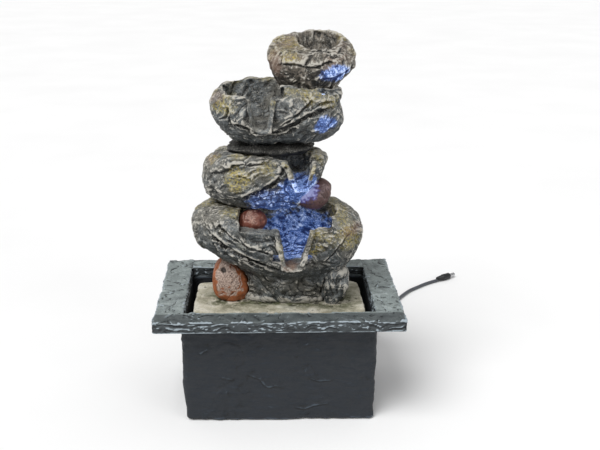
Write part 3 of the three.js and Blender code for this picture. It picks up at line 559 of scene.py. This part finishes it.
class Clay:
    """A CAD node's shape as a fine mesh, with named values at its points. Lengths are in mm."""

    def __init__(self, node, voxel, rounds):
        self.node = node
        source = frame["nodes"][node]
        work = new_object("work", source.data.copy())
        remesh = work.modifiers.new("remesh", "REMESH")
        remesh.mode = "VOXEL"
        remesh.voxel_size = voxel * MM * 1.0
        relax = work.modifiers.new("relax", "SMOOTH")
        relax.iterations = rounds
        graph = bpy.context.evaluated_depsgraph_get()
        self.mesh = bpy.data.meshes.new_from_object(work.evaluated_get(graph))
        bpy.data.objects.remove(work)
        self.points = read(self.mesh.vertices, "co", 3) / MM
        self.normals = read(self.mesh.vertex_normals, "vector", 3)
        self.pairs = read(self.mesh.edges, "vertices", 2, int)
        self.degree = np.maximum(1, np.bincount(self.pairs.ravel(), minlength=len(self.points)))
        low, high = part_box(node)
        self.low = np.array(low) / MM
        self.size = (np.array(high) - np.array(low)) / MM
        self.values = {}

    def spread(self, values, rounds):
        """Values averaged with their neighbours'."""
        first, second = self.pairs.T
        shape = values.reshape(len(values), -1)
        for _ in range(rounds):
            columns = []
            for column in shape.T:
                total = np.bincount(first, column[second], len(column))
                total += np.bincount(second, column[first], len(column))
                columns.append((column + total) / (1 + self.degree))
            shape = np.stack(columns, 1)
        return shape.reshape(values.shape)

    def from_line(self, line):
        """Distance in the front view from a line given in shares of the box, and 1 below to -1 above it."""
        points = self.points[:, (0, 2)]
        corners = np.array(line) * self.size[[0, 2]] + self.low[[0, 2]]
        best = np.full(len(points), 1e9)
        below = np.zeros(len(points))
        for start, end in zip(corners, corners[1:]):
            way = end - start
            along = np.clip(((points - start) @ way) / (way @ way), 0, 1)
            apart = points - start - along[:, None] * way
            distance = np.hypot(*apart.T)
            nearer = distance < best
            best = np.where(nearer, distance, best)
            below = np.where(nearer, -apart[:, 1] / np.maximum(distance, 1e-6), below)
        return best, below

    def front(self, depth=22):
        """1 on the outer front, down to a depth behind its foremost point, and 0 behind that."""
        facing = smooth(-self.normals[:, 1], -0.1, 0.25)
        return facing * smooth(self.low[1] + depth - self.points[:, 1], -6, 6)

    def settle(self):
        """Takes moved points over into the mesh, and its normals from there."""
        self.mesh.vertices.foreach_set("co", (self.points * MM).ravel())
        self.mesh.update()
        self.normals = read(self.mesh.vertex_normals, "vector", 3)

    def raise_by(self, height):
        """Moves the points out along the normals."""
        self.points += self.normals * height[:, None]
        self.settle()

    def crease(self, lines, width=1.2, depth=2.0, step=1.5):
        """Cracks along lines, whose lower side is set back, with their grooves marked for painted shade."""
        mask = self.front()
        height = np.zeros(len(self.points))
        dark = np.zeros(len(self.points))
        for line in lines:
            distance, below = self.from_line(line)
            distance = distance + 0.5 * noise(self.points, 4, 3)
            groove = np.exp(-(np.maximum(distance, 0) / width) ** 2)
            height -= depth * groove
            height -= step * smooth(below, -0.2, 0.6) * np.exp(-distance / 5)
            height += 0.25 * step * smooth(-below, -0.2, 0.6) * np.exp(-((distance - 3) / 2.4) ** 2)
            # Painted shade: the grooves are marked to be painted near black.
            dark = np.maximum(dark, np.exp(-(np.maximum(distance, 0) / (0.9 * width)) ** 2))
        self.raise_by(height * mask)
        self.keep("crack", dark * mask)

    def lips(self, lines):
        """Raised pale edges along a spout."""
        width = 0.65
        height = 0.15
        mask = self.front(30)
        for line in lines:
            distance, _ = self.from_line(line)
            distance = distance + 0.7 * noise(self.points, 6, 4)
            lip = np.exp(-(distance / width) ** 2) * mask
            self.raise_by(height * lip)
            self.keep("lip", lip)

    def keep(self, name, values):
        """Notes a value from 0 to 1 at each point, and keeps the higher of two."""
        self.values[name] = np.maximum(self.values.get(name, 0), np.clip(values, 0, 1))

    def wear_and_shade(self, wide=24):
        """Marks what stands proud as worn, what lies low as hollow for painted shade in the hollows, and what
        faces down for painted shade underneath.
        """
        near = self.spread(self.points, 3)
        far = self.spread(self.points, wide)
        fine = ((self.points - near) * self.normals).sum(1)
        broad = ((near - far) * self.normals).sum(1)
        self.keep("edge", smooth(fine * 3.2 + broad * 1.3, 0.35, 2.0))
        self.keep("hollow", smooth(-fine * 5 - broad * 1.5, 0.25, 1.5))
        self.keep("under", smooth(-self.normals[:, 2], -0.25, 0.65))

    def patches(self, name, patches, soft):
        """Rough-edged patches, given by a middle, radii and a strength. `soft` widens their edges."""
        for middle, radii, strength in patches:
            apart = (self.points - middle) / radii
            inside = 1 - (apart ** 2).sum(1)
            rough = 0.3 * noise(self.points, 4.5, 5) + 0.2 * noise(self.points, 2.1, 8)
            self.keep(name, strength * smooth(inside + rough, 0, soft))

    def done(self, name, material):
        """Makes the piece, with the noted values on its mesh for the material."""
        for key, values in self.values.items():
            attribute = self.mesh.attributes.new(key, "FLOAT", "POINT")
            attribute.data.foreach_set("value", values.astype(np.float32))
        self.mesh.shade_smooth()
        self.mesh.name = name
        finish_piece(new_object(name, self.mesh), self.node, material)


def creased(points, size, seed, sharp):
    """Plates between narrow V-shaped creases, 0 on the plates and -1 in the creases."""
    return np.minimum(np.abs(noise(points, size, seed)), sharp) / sharp - 1


def craggy(points, seed, flow):
    """Cast rock: broad swells, creases that run along `flow`, blocky breaks and a rough grain."""
    billows = np.abs(noise(wandered(points, 14, 5, seed), 20, seed + 11))
    swell = 1.3 * layered(points, 24, 3, seed) + 2.4 * billows - 0.7
    bent = drawn_out(wandered(points, 24, 8, seed), flow, 5)
    where = smooth(noise(points, 20, seed + 1), -0.1, 0.4)
    folds = 1.9 * creased(bent, 12, seed + 2, 0.4) * where
    folds += 0.9 * creased(bent, 6.0, seed + 3, 0.45) * smooth(noise(points, 15, seed + 5), -0.2, 0.3)
    folds += 0.9 * (ridged(bent, 5.0, 3, seed + 7) - 0.5)
    block, lift = facets(wandered(points, 9, 3, seed + 4), 11, seed)
    breaks = -0.8 * np.exp(-(block / 0.06) ** 2) + 0.45 * lift
    patch = smooth(noise(points, 26, seed + 6), 0.15, 0.5)
    grain = 0.22 * noise(points, 3.6, seed + 8) + 0.2 * noise(points, 1.9, seed + 9)
    return swell + folds + breaks * patch + grain


def rock(name, dark, mid, light, warm):
    """Painted cast rock: a dark ground, mottled greys, dry-brushed crests, lichen, lamplight, and painted
    shade in the hollows, the cracks and underneath.
    """
    shader = Shader(name, 0.72)
    broad = shader.noise(26, 3)
    patchy = shader.noise(130, 9, 0.78)
    fine = shader.noise(900, 5, 0.8)
    shader.base = shader.ramp(patchy, (0.4, dark), (0.5, mid), (0.62, light))
    shader.paint(shader.fit(broad, 0.42, 0.62, 0.0, 0.7), warm)
    shader.paint(shader.fit(fine, 0.47, 0.56, 0.0, 0.55), dark)
    # Painted shade: near black in the hollows and the cracks.
    hollow = shader.maths("ADD", shader.value("hollow"), shader.value("crack"), clamp=True)
    shader.paint(shader.fit(hollow, 0.02, 0.8, 0.0, 0.92), tone(13, 14, 14))
    # Painted shade: faces that look down get less of the pale brush and are painted darker.
    under = shader.value("under")
    worn = shader.maths("SUBTRACT", shader.value("edge"), shader.times(under, 0.35))
    reach = shader.maths("ADD", shader.times(worn, 0.33), fine)
    shader.paint(shader.times(under, 0.5), dark)
    shader.paint(shader.fit(reach, 0.5, 0.66, 0.0, 0.85), tone(196, 192, 182))
    shader.paint(shader.times(shader.value("stain"), 0.55), tone(142, 108, 88))
    specks = shader.fit(shader.noise(420, 7, 0.8), 0.44, 0.6)
    growth = shader.times(shader.value("lichen"), specks)
    shader.paint(shader.times(growth, 0.85), tone(190, 172, 84))
    lip = shader.times(shader.value("lip"), shader.fit(fine, 0.34, 0.6, 1.0, 0.35))
    shader.paint(shader.fit(lip, 0.3, 1.0, 0.0, 0.6), tone(176, 174, 166))
    glow = shader.value("glow")
    lit = shader.maths("SUBTRACT", reach, shader.times(hollow, 0.25))
    blue = shader.ramp(lit, (0.34, tone(24, 42, 90)), (0.48, tone(70, 106, 176)), (0.62, tone(180, 200, 240)))
    shader.set(Base_Color=shader.blend(shader.times(glow, 0.85), shader.base, blue))
    shader.set(Emission_Color=blue, Emission_Strength=shader.times(glow, 0.42))
    shader.set(Roughness=shader.fit(fine, 0.3, 0.7, 0.42, 0.75))
    coarse = shader.bump(patchy, 0.0016)
    shader.set(Normal=shader.bump(fine, 0.0007, coarse))
    return shader.material


ROCKS = {
    "grey": rock("grey_rock", tone(29, 33, 34), tone(84, 91, 94), tone(148, 153, 155), tone(110, 106, 95)),
    "brown": rock("brown_rock", tone(36, 34, 30), tone(94, 88, 78), tone(150, 139, 126), tone(122, 102, 88)),
    "dark": rock("dark_rock", tone(13, 15, 15), tone(32, 34, 34), tone(60, 62, 60), tone(44, 43, 38)),
}

# Lamplight on the stones: each patch's middle, its radii and its strength
LAMPLIGHT = [
    ((59, -36, 352), (22, 24, 11), 1.0),
    ((48, -46, 303), (15, 24, 12), 1.0),
    ((-6, -46, 225), (30, 40, 16), 0.7),
    ((20, -40, 238), (24, 36, 20), 1.0),
    ((18, -16, 185), (46, 40, 32), 1.0),
    ((-4, -30, 213), (30, 26, 16), 0.9),
]

# Yellow lichen and reddish stains, given in the same way
LICHEN = [
    ((8, -34, 371), (15, 14, 9), 1.0),
    ((-50, -30, 321), (19, 22, 10), 1.0),
    ((52, -36, 326), (16, 16, 8), 0.6),
    ((-42, -45, 250), (15, 18, 17), 1.0),
    ((-62, -20, 264), (9, 12, 8), 0.8),
    ((68, -25, 184), (21, 26, 14), 0.9),
    ((34, -44, 180), (14, 14, 9), 0.8),
]
STAINS = [
    ((40, -8, 385), (32, 36, 8), 0.8),
    ((-5, -20, 362), (10, 24, 18), 0.6),
    ((-64, -16, 264), (10, 14, 8), 0.7),
    ((70, -26, 194), (20, 26, 9), 0.8),
    ((10, -50, 164), (11, 16, 9), 0.9),
    ((-64, -30, 330), (14, 20, 10), 0.5),
]

# Lines on the bowls' fronts, in shares of each bowl's box across and up: cracks, sweeping folds with
# their depth, and the pale lips of the spouts
CREASES = {
    "top_bowl": [
        [(0.17, 0.85), (0.16, 0.72), (0.14, 0.58)],
        [(0.53, 0.81), (0.47, 0.7), (0.43, 0.63), (0.4, 0.55)],
        [(0.66, 0.76), (0.71, 0.7), (0.78, 0.71), (0.82, 0.83)],
        [(0.57, 0.56), (0.63, 0.6), (0.69, 0.63)],
        [(0.16, 0.57), (0.32, 0.58), (0.43, 0.53), (0.55, 0.55)],
        [(0.57, 0.33), (0.72, 0.35), (0.86, 0.43), (0.93, 0.5)],
    ],
    "second_bowl": [
        [(0.57, 0.47), (0.64, 0.58), (0.7, 0.7), (0.74, 0.79)],
        [(0.46, 0.25), (0.54, 0.35), (0.64, 0.46), (0.72, 0.56), (0.81, 0.63), (0.91, 0.67)],
        [(0.14, 0.67), (0.15, 0.54), (0.16, 0.41)],
        [(0.15, 0.39), (0.22, 0.41), (0.31, 0.34), (0.38, 0.28), (0.46, 0.3)],
        [(0.48, 0.19), (0.57, 0.27), (0.62, 0.35)],
        [(0.8, 0.73), (0.85, 0.76), (0.9, 0.75)],
    ],
    "third_bowl": [
        [(0.03, 0.66), (0.09, 0.72), (0.17, 0.76), (0.23, 0.82), (0.26, 0.87), (0.35, 0.9), (0.49, 0.94)],
        [(0.35, 0.35), (0.4, 0.41), (0.48, 0.47), (0.57, 0.58), (0.63, 0.75), (0.66, 0.89)],
        [(0.06, 0.49), (0.16, 0.37), (0.29, 0.29)],
        [(0.3, 0.71), (0.35, 0.69)],
    ],
    "lowest_bowl": [
        [(0.12, 1.0), (0.09, 0.94), (0.08, 0.88), (0.1, 0.81), (0.14, 0.75), (0.2, 0.67)],
        [(0.17, 0.86), (0.24, 0.76), (0.34, 0.66), (0.45, 0.6)],
        [(0.77, 0.5), (0.81, 0.57), (0.86, 0.68), (0.9, 0.76), (0.96, 0.75)],
        [(0.77, 0.4), (0.81, 0.33), (0.76, 0.29)],
        [(0.53, 0.46), (0.56, 0.4), (0.6, 0.38)],
    ],
}
FOLDS = {
    "second_bowl": (1.4, [
        [(0.36, 0.2), (0.46, 0.25), (0.54, 0.35), (0.64, 0.46), (0.72, 0.56), (0.81, 0.63)],
    ]),
    "third_bowl": (1.8, [
        [(0.35, 0.35), (0.4, 0.41), (0.48, 0.47), (0.57, 0.58)],
    ]),
    "lowest_bowl": (4.2, [
        [(0.14, 0.74), (0.2, 0.65), (0.32, 0.55), (0.44, 0.45), (0.54, 0.38), (0.6, 0.33)],
        [(0.2, 0.56), (0.27, 0.48), (0.34, 0.38), (0.42, 0.3), (0.52, 0.24), (0.6, 0.22)],
        [(0.3, 0.5), (0.38, 0.44), (0.46, 0.35), (0.56, 0.29), (0.66, 0.26), (0.76, 0.22)],
    ]),
}
LIPS = {
    "second_bowl": [
        [(0.29, 0.81), (0.31, 0.64), (0.32, 0.46), (0.36, 0.33), (0.39, 0.33), (0.42, 0.38), (0.44, 0.5),
         (0.45, 0.69), (0.47, 0.84)],
    ],
    "third_bowl": [
        [(0.67, 0.94), (0.71, 0.83), (0.75, 0.67), (0.79, 0.55), (0.83, 0.58), (0.88, 0.73), (0.91, 0.89)],
    ],
    "lowest_bowl": [
        [(0.24, 0.88), (0.32, 0.82), (0.5, 0.82), (0.53, 0.68), (0.55, 0.52), (0.59, 0.52),
         (0.63, 0.65), (0.68, 0.77)],
    ],
}
# Rounded swellings: each one's middle, its reach and its height
KNOBS = {
    "top_bowl": [((5, -28, 372), 11, 2.5), ((24, -34, 371), 12, 3.0)],
    "second_bowl": [((-58, -18, 326), 9, 3.5), ((56, -22, 330), 10, 2.5), ((-30, -44, 300), 13, 2.0)],
    "third_bowl": [((-62, -14, 262), 9, 4.5), ((-66, -22, 240), 12, 2.0), ((38, -16, 262), 9, 2.0)],
    "lowest_bowl": [((-72, -10, 196), 13, 3.5), ((-80, -18, 180), 11, 2.5), ((76, -14, 192), 12, 2.5),
                    ((-20, -40, 165), 20, 2.0)],
}


def lamplit(clay):
    clay.patches("glow", LAMPLIGHT, 0.55)


def spread_foot(clay):
    """Keeps the lowest bowl's outer face out of the lamplight and spreads its foot on the plinth."""
    _, y, z = clay.points.T
    brow = smooth(y, -50, -44) * smooth(z, 176, 183)
    clay.values["glow"] *= np.maximum(smooth(y, -36, -28), brow)
    foot = smooth(121 + 3 * noise(clay.points, 12, 17) - z, 0, 5)
    clay.raise_by(2.6 * foot * smooth(z, 110.5, 113))
    clay.keep("lip", 0.8 * foot * smooth(noise(clay.points, 7, 18), -0.3, 0.2))


def make_bowl(node, material, seed, flow, extra=None):
    """A cast stone bowl. Its fine creases run along `flow`."""
    clay = Clay(node, 0.85, 6)
    for middle, reach, height in KNOBS[node]:
        apart = np.linalg.norm(clay.points - middle, axis=1)
        clay.raise_by(height * np.exp(-(apart / reach) ** 2))
    clay.raise_by(craggy(clay.points, seed, flow))
    clay.crease(CREASES[node])
    fold_depth, folds = FOLDS.get(node, (0, []))
    clay.crease(folds, 2.2, fold_depth, 0.8 * fold_depth)
    spout = LIPS.get(node, [])
    clay.lips(spout)
    rise = (clay.points[:, 2] - clay.low[2]) / clay.size[2]
    top = smooth(rise + 0.15 * noise(clay.points, 20, seed), 0.55, 0.85)
    clay.keep("lichen", 0.6 * top * smooth(noise(clay.points, 26, seed + 12), -0.1, 0.35))
    clay.patches("lichen", LICHEN, 0.9)
    clay.patches("stain", STAINS, 0.9)
    lamplit(clay)
    if extra:
        extra(clay)
    clay.wear_and_shade()
    for line in spout:
        distance, _ = clay.from_line(line)
        clay.values["edge"] *= 1 - 0.95 * np.exp(-(distance / 4) ** 2)
    clay.done(node + "_rock", material)


make_bowl("lowest_bowl", ROCKS["grey"], 1, (0.8, 0.2, -0.5), spread_foot)
make_bowl("third_bowl", ROCKS["grey"], 2, (0.9, 0.1, 0.25))
make_bowl("second_bowl", ROCKS["grey"], 3, (0.8, 0.1, 0.5))
make_bowl("top_bowl", ROCKS["brown"], 4, (0.3, 0.1, 0.9))


def ragged_disc(clay):
    """A thin stone with a broken outline and a wavy top."""
    level = clay.points * (1, 1, 0.3)
    outward = clay.points * (1, 1, 0)
    outward /= np.linalg.norm(outward, axis=1)[:, None]
    ragged = 5 * noise(level, 18, 61) + 3 * noise(level, 8, 62) - 3
    clay.points += outward * ragged[:, None]
    clay.points[:, 2] += 1.6 * noise(clay.points * (1, 1, 0.3), 22, 63)


def lumpy(clay):
    """Rounded lumps with sharp valleys."""
    clay.raise_by(5 * np.abs(noise(clay.points, 15, 64)) - 1.5)


def make_small_stone(node, material, seed, flow, first, worn):
    """A small stone: `first` gives its own shape, and `worn` how pale its edges turn, 0 to 1."""
    clay = Clay(node, 0.9, 5)
    first(clay)
    clay.raise_by(0.7 * craggy(clay.points, seed, flow))
    lamplit(clay)
    clay.wear_and_shade()
    clay.values["edge"] *= worn
    clay.done(node + "_rock", material)


make_small_stone("flat_stone", ROCKS["dark"], 6, (1, 0, 0.1), ragged_disc, 0)
make_small_stone("heel_stone", ROCKS["grey"], 7, (0.2, 0.2, 1), lumpy, 1)


def pebble_material(name, rim, face_dark, face_light):
    """Smooth stain round the edge, a mottled, rubbed face and painted shade in the hollows."""
    shader = Shader(name, 0.6)
    patchy = shader.noise(150, 5, 0.65, warp=0.5)
    fine = shader.noise(700, 4, 0.7)
    ground = shader.ramp(patchy, (0.3, shaded(rim, 0.45)), (0.6, rim))
    face = shader.ramp(fine, (0.35, face_dark), (0.62, face_light))
    shader.base = shader.blend(shader.value("face"), ground, face)
    # Painted shade, near black, in the hollows.
    shader.paint(shader.fit(shader.value("hollow"), 0.1, 0.8, 0.0, 0.9), tone(22, 16, 14))
    brush = shader.times(shader.value("edge"), shader.fit(fine, 0.3, 0.6, 0.2, 0.8))
    shader.paint(brush, tone(206, 176, 150))
    glow = shader.value("glow")
    blue = shader.ramp(glow, (0.0, tone(30, 30, 110)), (0.5, tone(70, 90, 210)), (1.0, tone(190, 200, 255)))
    shader.set(Base_Color=shader.blend(shader.times(glow, 0.5), shader.base, blue))
    shader.set(Emission_Color=blue, Emission_Strength=shader.times(glow, 0.2))
    shader.set(Roughness=shader.fit(fine, 0.3, 0.7, 0.42, 0.75))
    coarse = shader.bump(patchy, 0.0005)
    shader.set(Normal=shader.bump(fine, 0.00022, coarse))
    return shader.material


def dimpled(clay):
    """The hole near the top left of the orange pebble's face, with painted shade in it."""
    distance, _ = clay.from_line([(0.3, 0.8), (0.32, 0.79)])
    dimple = np.exp(-(distance / 2.6) ** 2) * clay.front(30)
    clay.raise_by(-2.6 * dimple)
    # Painted shade in the hole.
    clay.keep("hollow", 1.2 * dimple)


def make_pebble(node, material, seed, facing, flat, extra=None):
    """A worn pebble. `facing` is the way its mottled face looks, and `flat` where that face starts."""
    clay = Clay(node, 0.8, 6)
    dents = creased(wandered(clay.points, 9, 4, seed), 13, seed, 0.1)
    swell = 0.9 * layered(clay.points, 14, 2, seed) + 0.5 * dents
    clay.raise_by(swell + 0.12 * noise(clay.points, 1.6, seed + 3))
    inward = clay.normals @ (np.array(facing) / np.linalg.norm(facing))
    clay.keep("face", smooth(inward + 0.12 * noise(clay.points, 6, seed + 9), flat, flat + 0.12))
    if extra:
        extra(clay)
    clay.wear_and_shade(10)
    clay.done(node + "_stone", material)


ORANGE = pebble_material("orange_stone", tone(168, 98, 58), tone(92, 72, 64), tone(196, 174, 160))
RED = pebble_material("red_stone", tone(124, 70, 56), tone(84, 50, 42), tone(190, 150, 134))
PLUM = pebble_material("plum_stone", tone(92, 66, 64), tone(50, 36, 48), tone(140, 118, 116))

make_pebble("orange_pebble", ORANGE, 11, (-0.1, -1, 0.45), 0.72, dimpled)
make_pebble("red_pebble", RED, 12, (0, -1, 0.6), 0.9)
make_pebble("plum_pebble", PLUM, 13, (0.5, -1, 0.5), 0.85, lamplit)


# ---- slate basin ----

def slate(name, dark, mid, light, streak, contrast, worn):
    """Riven slate: cloudy grey ground, pale scuffed edges, dark seams of painted shade, and painted shade on
    the faces marked as side.
    """
    shader = Shader(name, 0.7)
    along = shader.stretched(0.4, 0.4, 1.5)
    clouds = shader.noise(40, 4, 0.6)
    layers = shader.noise(150, 8, 0.7, where=along, warp=0.5)
    fine = shader.noise(900, 3, 0.65)
    low = 0.5 - 0.2 * contrast
    high = 0.5 + 0.22 * contrast
    shader.base = shader.ramp(layers, (low, dark), (0.5, mid), (high, light))
    shader.paint(shader.fit(clouds, 0.4, 0.62, 0.0, 0.6), mid)
    # Painted shade on the faces marked as side.
    shader.paint(shader.fit(shader.value("side"), 0.1, 0.9, 0.0, 0.88), dark)
    shader.paint(shader.fit(fine, 0.45, 0.65, 0.0, 0.3), dark)
    # Painted shade in the hollows: the dark seams.
    shader.paint(shader.fit(shader.value("hollow"), 0.1, 0.9, 0.0, 0.85), tone(16, 19, 22))
    reach = shader.maths("ADD", shader.times(shader.value("edge"), worn), layers)
    shader.paint(shader.fit(reach, 0.6, 0.82, 0.0, 0.8), streak)
    shader.set(Base_Color=shader.base, Roughness=shader.fit(layers, 0.3, 0.7, 0.5, 0.8))
    coarse = shader.bump(layers, 0.0012)
    shader.set(Normal=shader.bump(fine, 0.0002, coarse))
    return shader.material


def riven(points, seed, layer, size, levels):
    """Split slate: thin layers that end in wavy steps, with a grain along `layer`."""
    spread = wandered(points, 16, 6, seed)
    steps = layered(spread, size, 3, seed) * levels
    terrace = np.floor(steps) + smooth(steps - np.floor(steps), 0.42, 0.58)
    fine = ridged(drawn_out(spread, layer, 5), 6, 3, seed + 3)
    return 0.6 * terrace + 0.4 * (fine - 0.5) + 0.08 * noise(points, 1.8, seed + 5)


def make_rim():
    """The flat frame, with split slate on top and broken layers round its edges."""
    clay = Clay("rim_frame", 1.0, 2)
    points = clay.points
    opening_side = 96
    opening_front = 69
    top = smooth(clay.normals[:, 2], 0.35, 0.75)
    under = smooth(-clay.normals[:, 2], 0.35, 0.75)
    side_boards = np.abs(points[:, 0]) > opening_side
    split = np.where(side_boards, riven(points, 21, ALONG_Y, 26, 1.3), riven(points, 24, ALONG_X, 26, 1.3))
    bent = drawn_out(wandered(points, 14, 4, 26), ALONG_X, 9)
    edge = 1.2 * creased(bent, 7, 22, 0.3) + 0.9 * (ridged(bent, 4, 2, 27) - 0.5)
    edge += 1.1 * layered(points, 18, 3, 23)
    clay.raise_by(1.5 * split * top + edge * (1 - top) * (1 - under))
    # Painted shade: the faces that don't look up, and the front board's top, are marked to be painted darker.
    front = smooth(-points[:, 1], opening_front, opening_front + 5) * top
    clay.keep("side", np.maximum(1 - top, 0.65 * front))
    clay.wear_and_shade(10)
    grey = slate("grey_slate", tone(24, 30, 36), tone(134, 143, 142), tone(176, 185, 183),
                 tone(160, 172, 180), 1.0, 0.45)
    clay.done("rim_slate", grey)


RIM_UNDERSIDE = 107.95            # the highest that the tub may reach

# Wavy ridges on the front of the tub, in shares of its box across and up
TUB_LINES = [
    [(0.096, 0.71), (0.125, 0.74)],
    [(0.2, 0.454), (0.256, 0.432)],
    [(0.336, 0.474), (0.398, 0.432), (0.42, 0.37), (0.442, 0.34), (0.48, 0.36), (0.513, 0.34)],
    [(0.585, 0.125), (0.629, 0.105), (0.68, 0.15), (0.744, 0.167)],
    [(0.66, 0.43), (0.7, 0.4), (0.76, 0.41)],
]


def make_tub():
    """The basin's walls: lightly split outside, plain inside, their top meeting the rim from below."""
    clay = Clay("tub", 1.2, 1)
    points = clay.points
    wall_top = 106
    half = clay.size[:2] / 2
    outward = (points[:, :2] / half * clay.normals[:, :2]).sum(1)
    outside = smooth(outward, 0.3, 0.6) * smooth(wall_top - points[:, 2], 0, 5)
    split = riven(points, 31, (1, 0, 0.1), 46, 1.4) * smooth(noise(points, 40, 36), -0.3, 0.2)
    drape = ridged(wandered(points, 20, 9, 38), 26, 2, 39)
    clay.raise_by((1.2 * split + 1.2 * layered(points, 36, 3, 35) + 0.9 * drape) * outside)
    front = outside * smooth(-clay.normals[:, 1], 0.6, 0.9)
    for line in TUB_LINES:
        distance, below = clay.from_line(line)
        ridge = np.exp(-((distance + 0.6 * noise(clay.points, 5, 37)) / 0.8) ** 2) * front
        groove = np.exp(-((distance - 1.6) / 1.2) ** 2) * smooth(below, 0, 0.5) * front
        clay.raise_by(ridge - 0.6 * groove)
        clay.keep("edge", 1.2 * ridge)
    # Painted shade: the inside and the band just under the rim are marked to be painted darker.
    clay.keep("side", 1 - outside)
    height = clay.points[:, 2]
    clay.points[:, 2] = np.minimum(height + 1.2 * smooth(height, wall_top - 3, wall_top), RIM_UNDERSIDE)
    clay.settle()
    clay.wear_and_shade(8)
    dark = slate("dark_slate", tone(14, 18, 24), tone(24, 30, 37), tone(38, 45, 54),
                 tone(66, 76, 86), 1.2, 0.28)
    clay.done("tub_slate", dark)


make_rim()
make_tub()


# ---- plinth ----

def sandstone():
    """Sandy plinth top, green with moss around the foot of the stones, washed brown in front and with painted
    shade in its hollows.
    """
    shader = Shader("sandstone", 0.85)
    clouds = shader.noise(60, 5, 0.6)
    fine = shader.noise(700, 4, 0.7)
    grit = shader.cells(1300)
    shader.base = shader.ramp(clouds, (0.36, tone(150, 146, 128)), (0.5, tone(192, 187, 168)),
                              (0.62, tone(214, 210, 196)))
    shader.paint(shader.fit(fine, 0.45, 0.65, 0.0, 0.45), tone(116, 110, 92))
    shader.paint(shader.fit(grit, 0.1, 0.3, 0.35, 0.0), tone(92, 88, 74))
    tufts = shader.fit(shader.noise(200, 6, 0.75), 0.35, 0.55, 0.5, 1.0)
    moss = shader.times(shader.value("moss"), tufts)
    shader.paint(shader.fit(moss, 0.1, 0.85, 0.0, 0.92), tone(74, 78, 48))
    shader.paint(shader.times(shader.value("wash"), 0.7), tone(128, 102, 68))
    # Painted shade in the hollows.
    shader.paint(shader.fit(shader.value("hollow"), 0.1, 0.9, 0.0, 0.8), tone(44, 42, 32))
    shader.paint(shader.fit(shader.value("edge"), 0.1, 0.9, 0.0, 0.7), tone(206, 202, 188))
    shader.set(Base_Color=shader.base, Roughness=shader.fit(fine, 0.3, 0.7, 0.75, 0.95))
    shader.set(Normal=shader.bump(fine, 0.0003, shader.bump(clouds, 0.0006)))
    return shader.material


def tree_of(*nodes):
    """CAD nodes as one surface that can be asked for its nearest point."""
    vertices = []
    faces = []
    for node in nodes:
        mesh = frame["nodes"][node].data
        start = len(vertices)
        vertices += [v.co.copy() for v in mesh.vertices]
        faces += [tuple(start + i for i in polygon.vertices) for polygon in mesh.polygons]
    return BVHTree.FromPolygons(vertices, faces)


def make_plinth():
    """The block under the stones, crusted and mossy round their feet."""
    clay = Clay("plinth", 1.3, 3)
    points = clay.points
    grit = 0.5 * (ridged(points, 9, 2, 42) - 0.5) + 0.15 * noise(points, 2.2, 43)
    height = 0.8 * layered(points, 30, 3, 41) + grit
    stones = tree_of("lowest_bowl", "orange_pebble", "heel_stone")
    upper = points[:, 2] > clay.low[2] + clay.size[2] - 14
    near = np.full(len(points), 99.0)
    for index in np.flatnonzero(upper):
        near[index] = stones.find_nearest(Vector(points[index]) * MM)[3] / MM
    height += 1.2 * np.exp(-(near / 5) ** 2) * smooth(noise(points, 6, 44), -0.3, 0.5)
    clay.raise_by(height)
    clay.keep("moss", 1.2 * np.exp(-near / 15) * smooth(noise(points, 14, 45), -0.7, 0.1))
    front = smooth(-points[:, 1], 40, 58) * smooth(60 - np.abs(points[:, 0] - 8), 0, 30)
    clay.keep("wash", front * smooth(noise(points, 16, 46), -0.5, 0.4))
    clay.wear_and_shade(10)
    clay.done("plinth_stone", sandstone())


make_plinth()


# ---- carried-over pieces ----

def dress_nodes():
    """The CAD pieces whose shape is right get their material and softened edges."""
    for name, node in frame["nodes"].items():
        if node.hide_render:
            continue
        node.data.materials.clear()
        node.data.materials.append(MATERIALS[slot_of(name)])
        bevel = node.modifiers.new("softened_edges", "BEVEL")
        bevel.width = 0.25 * MM
        bevel.segments = 2
        bevel.limit_method = "ANGLE"
        bevel.angle_limit = math.radians(38)


dress_nodes()


# ---- floor and light ----

def make_floor():
    """A wide sheet of pale paper."""
    half = 6.0
    mesh = bpy.data.meshes.new("floor")
    corners = [(-half, -half, 0), (half, -half, 0), (half, half, 0), (-half, half, 0)]
    mesh.from_pydata(corners, [], [(0, 1, 2, 3)])
    floor = new_object("floor", mesh)
    shader = Shader("floor_paper", 0.9)
    cloud = shader.noise(4, 2)
    shader.set(Base_Color=shader.ramp(cloud, (0.3, tone(240, 240, 240)), (0.7, tone(244, 244, 244))))
    mesh.materials.append(shader.material)


def shining(light, direction):
    light.rotation_euler = Vector(direction).to_track_quat("-Z", "Y").to_euler()


def make_studio():
    """A white room with a broad, soft key light from the left and a weak fill from the right."""
    world = bpy.data.worlds.new("studio")
    bpy.context.scene.world = world
    world.use_nodes = True
    background = world.node_tree.nodes["Background"]
    background.inputs["Color"].default_value = (1, 1, 1, 1)
    background.inputs["Strength"].default_value = 0.5

    key = new_object("key", bpy.data.lights.new("key", "SUN"))
    key.data.energy = 2.5
    key.data.angle = math.radians(38)
    shining(key, (0.45, 0.62, -1.0))

    fill = new_object("fill", bpy.data.lights.new("fill", "AREA"))
    fill.data.shape = "DISK"
    fill.data.size = 1.0
    fill.data.energy = 5
    fill.location = (1.2, -1.4, 0.8)
    shining(fill, Vector((0, 0, 0.2)) - fill.location)
    bpy.context.scene.view_settings.view_transform = "Standard"


make_floor()
make_studio()
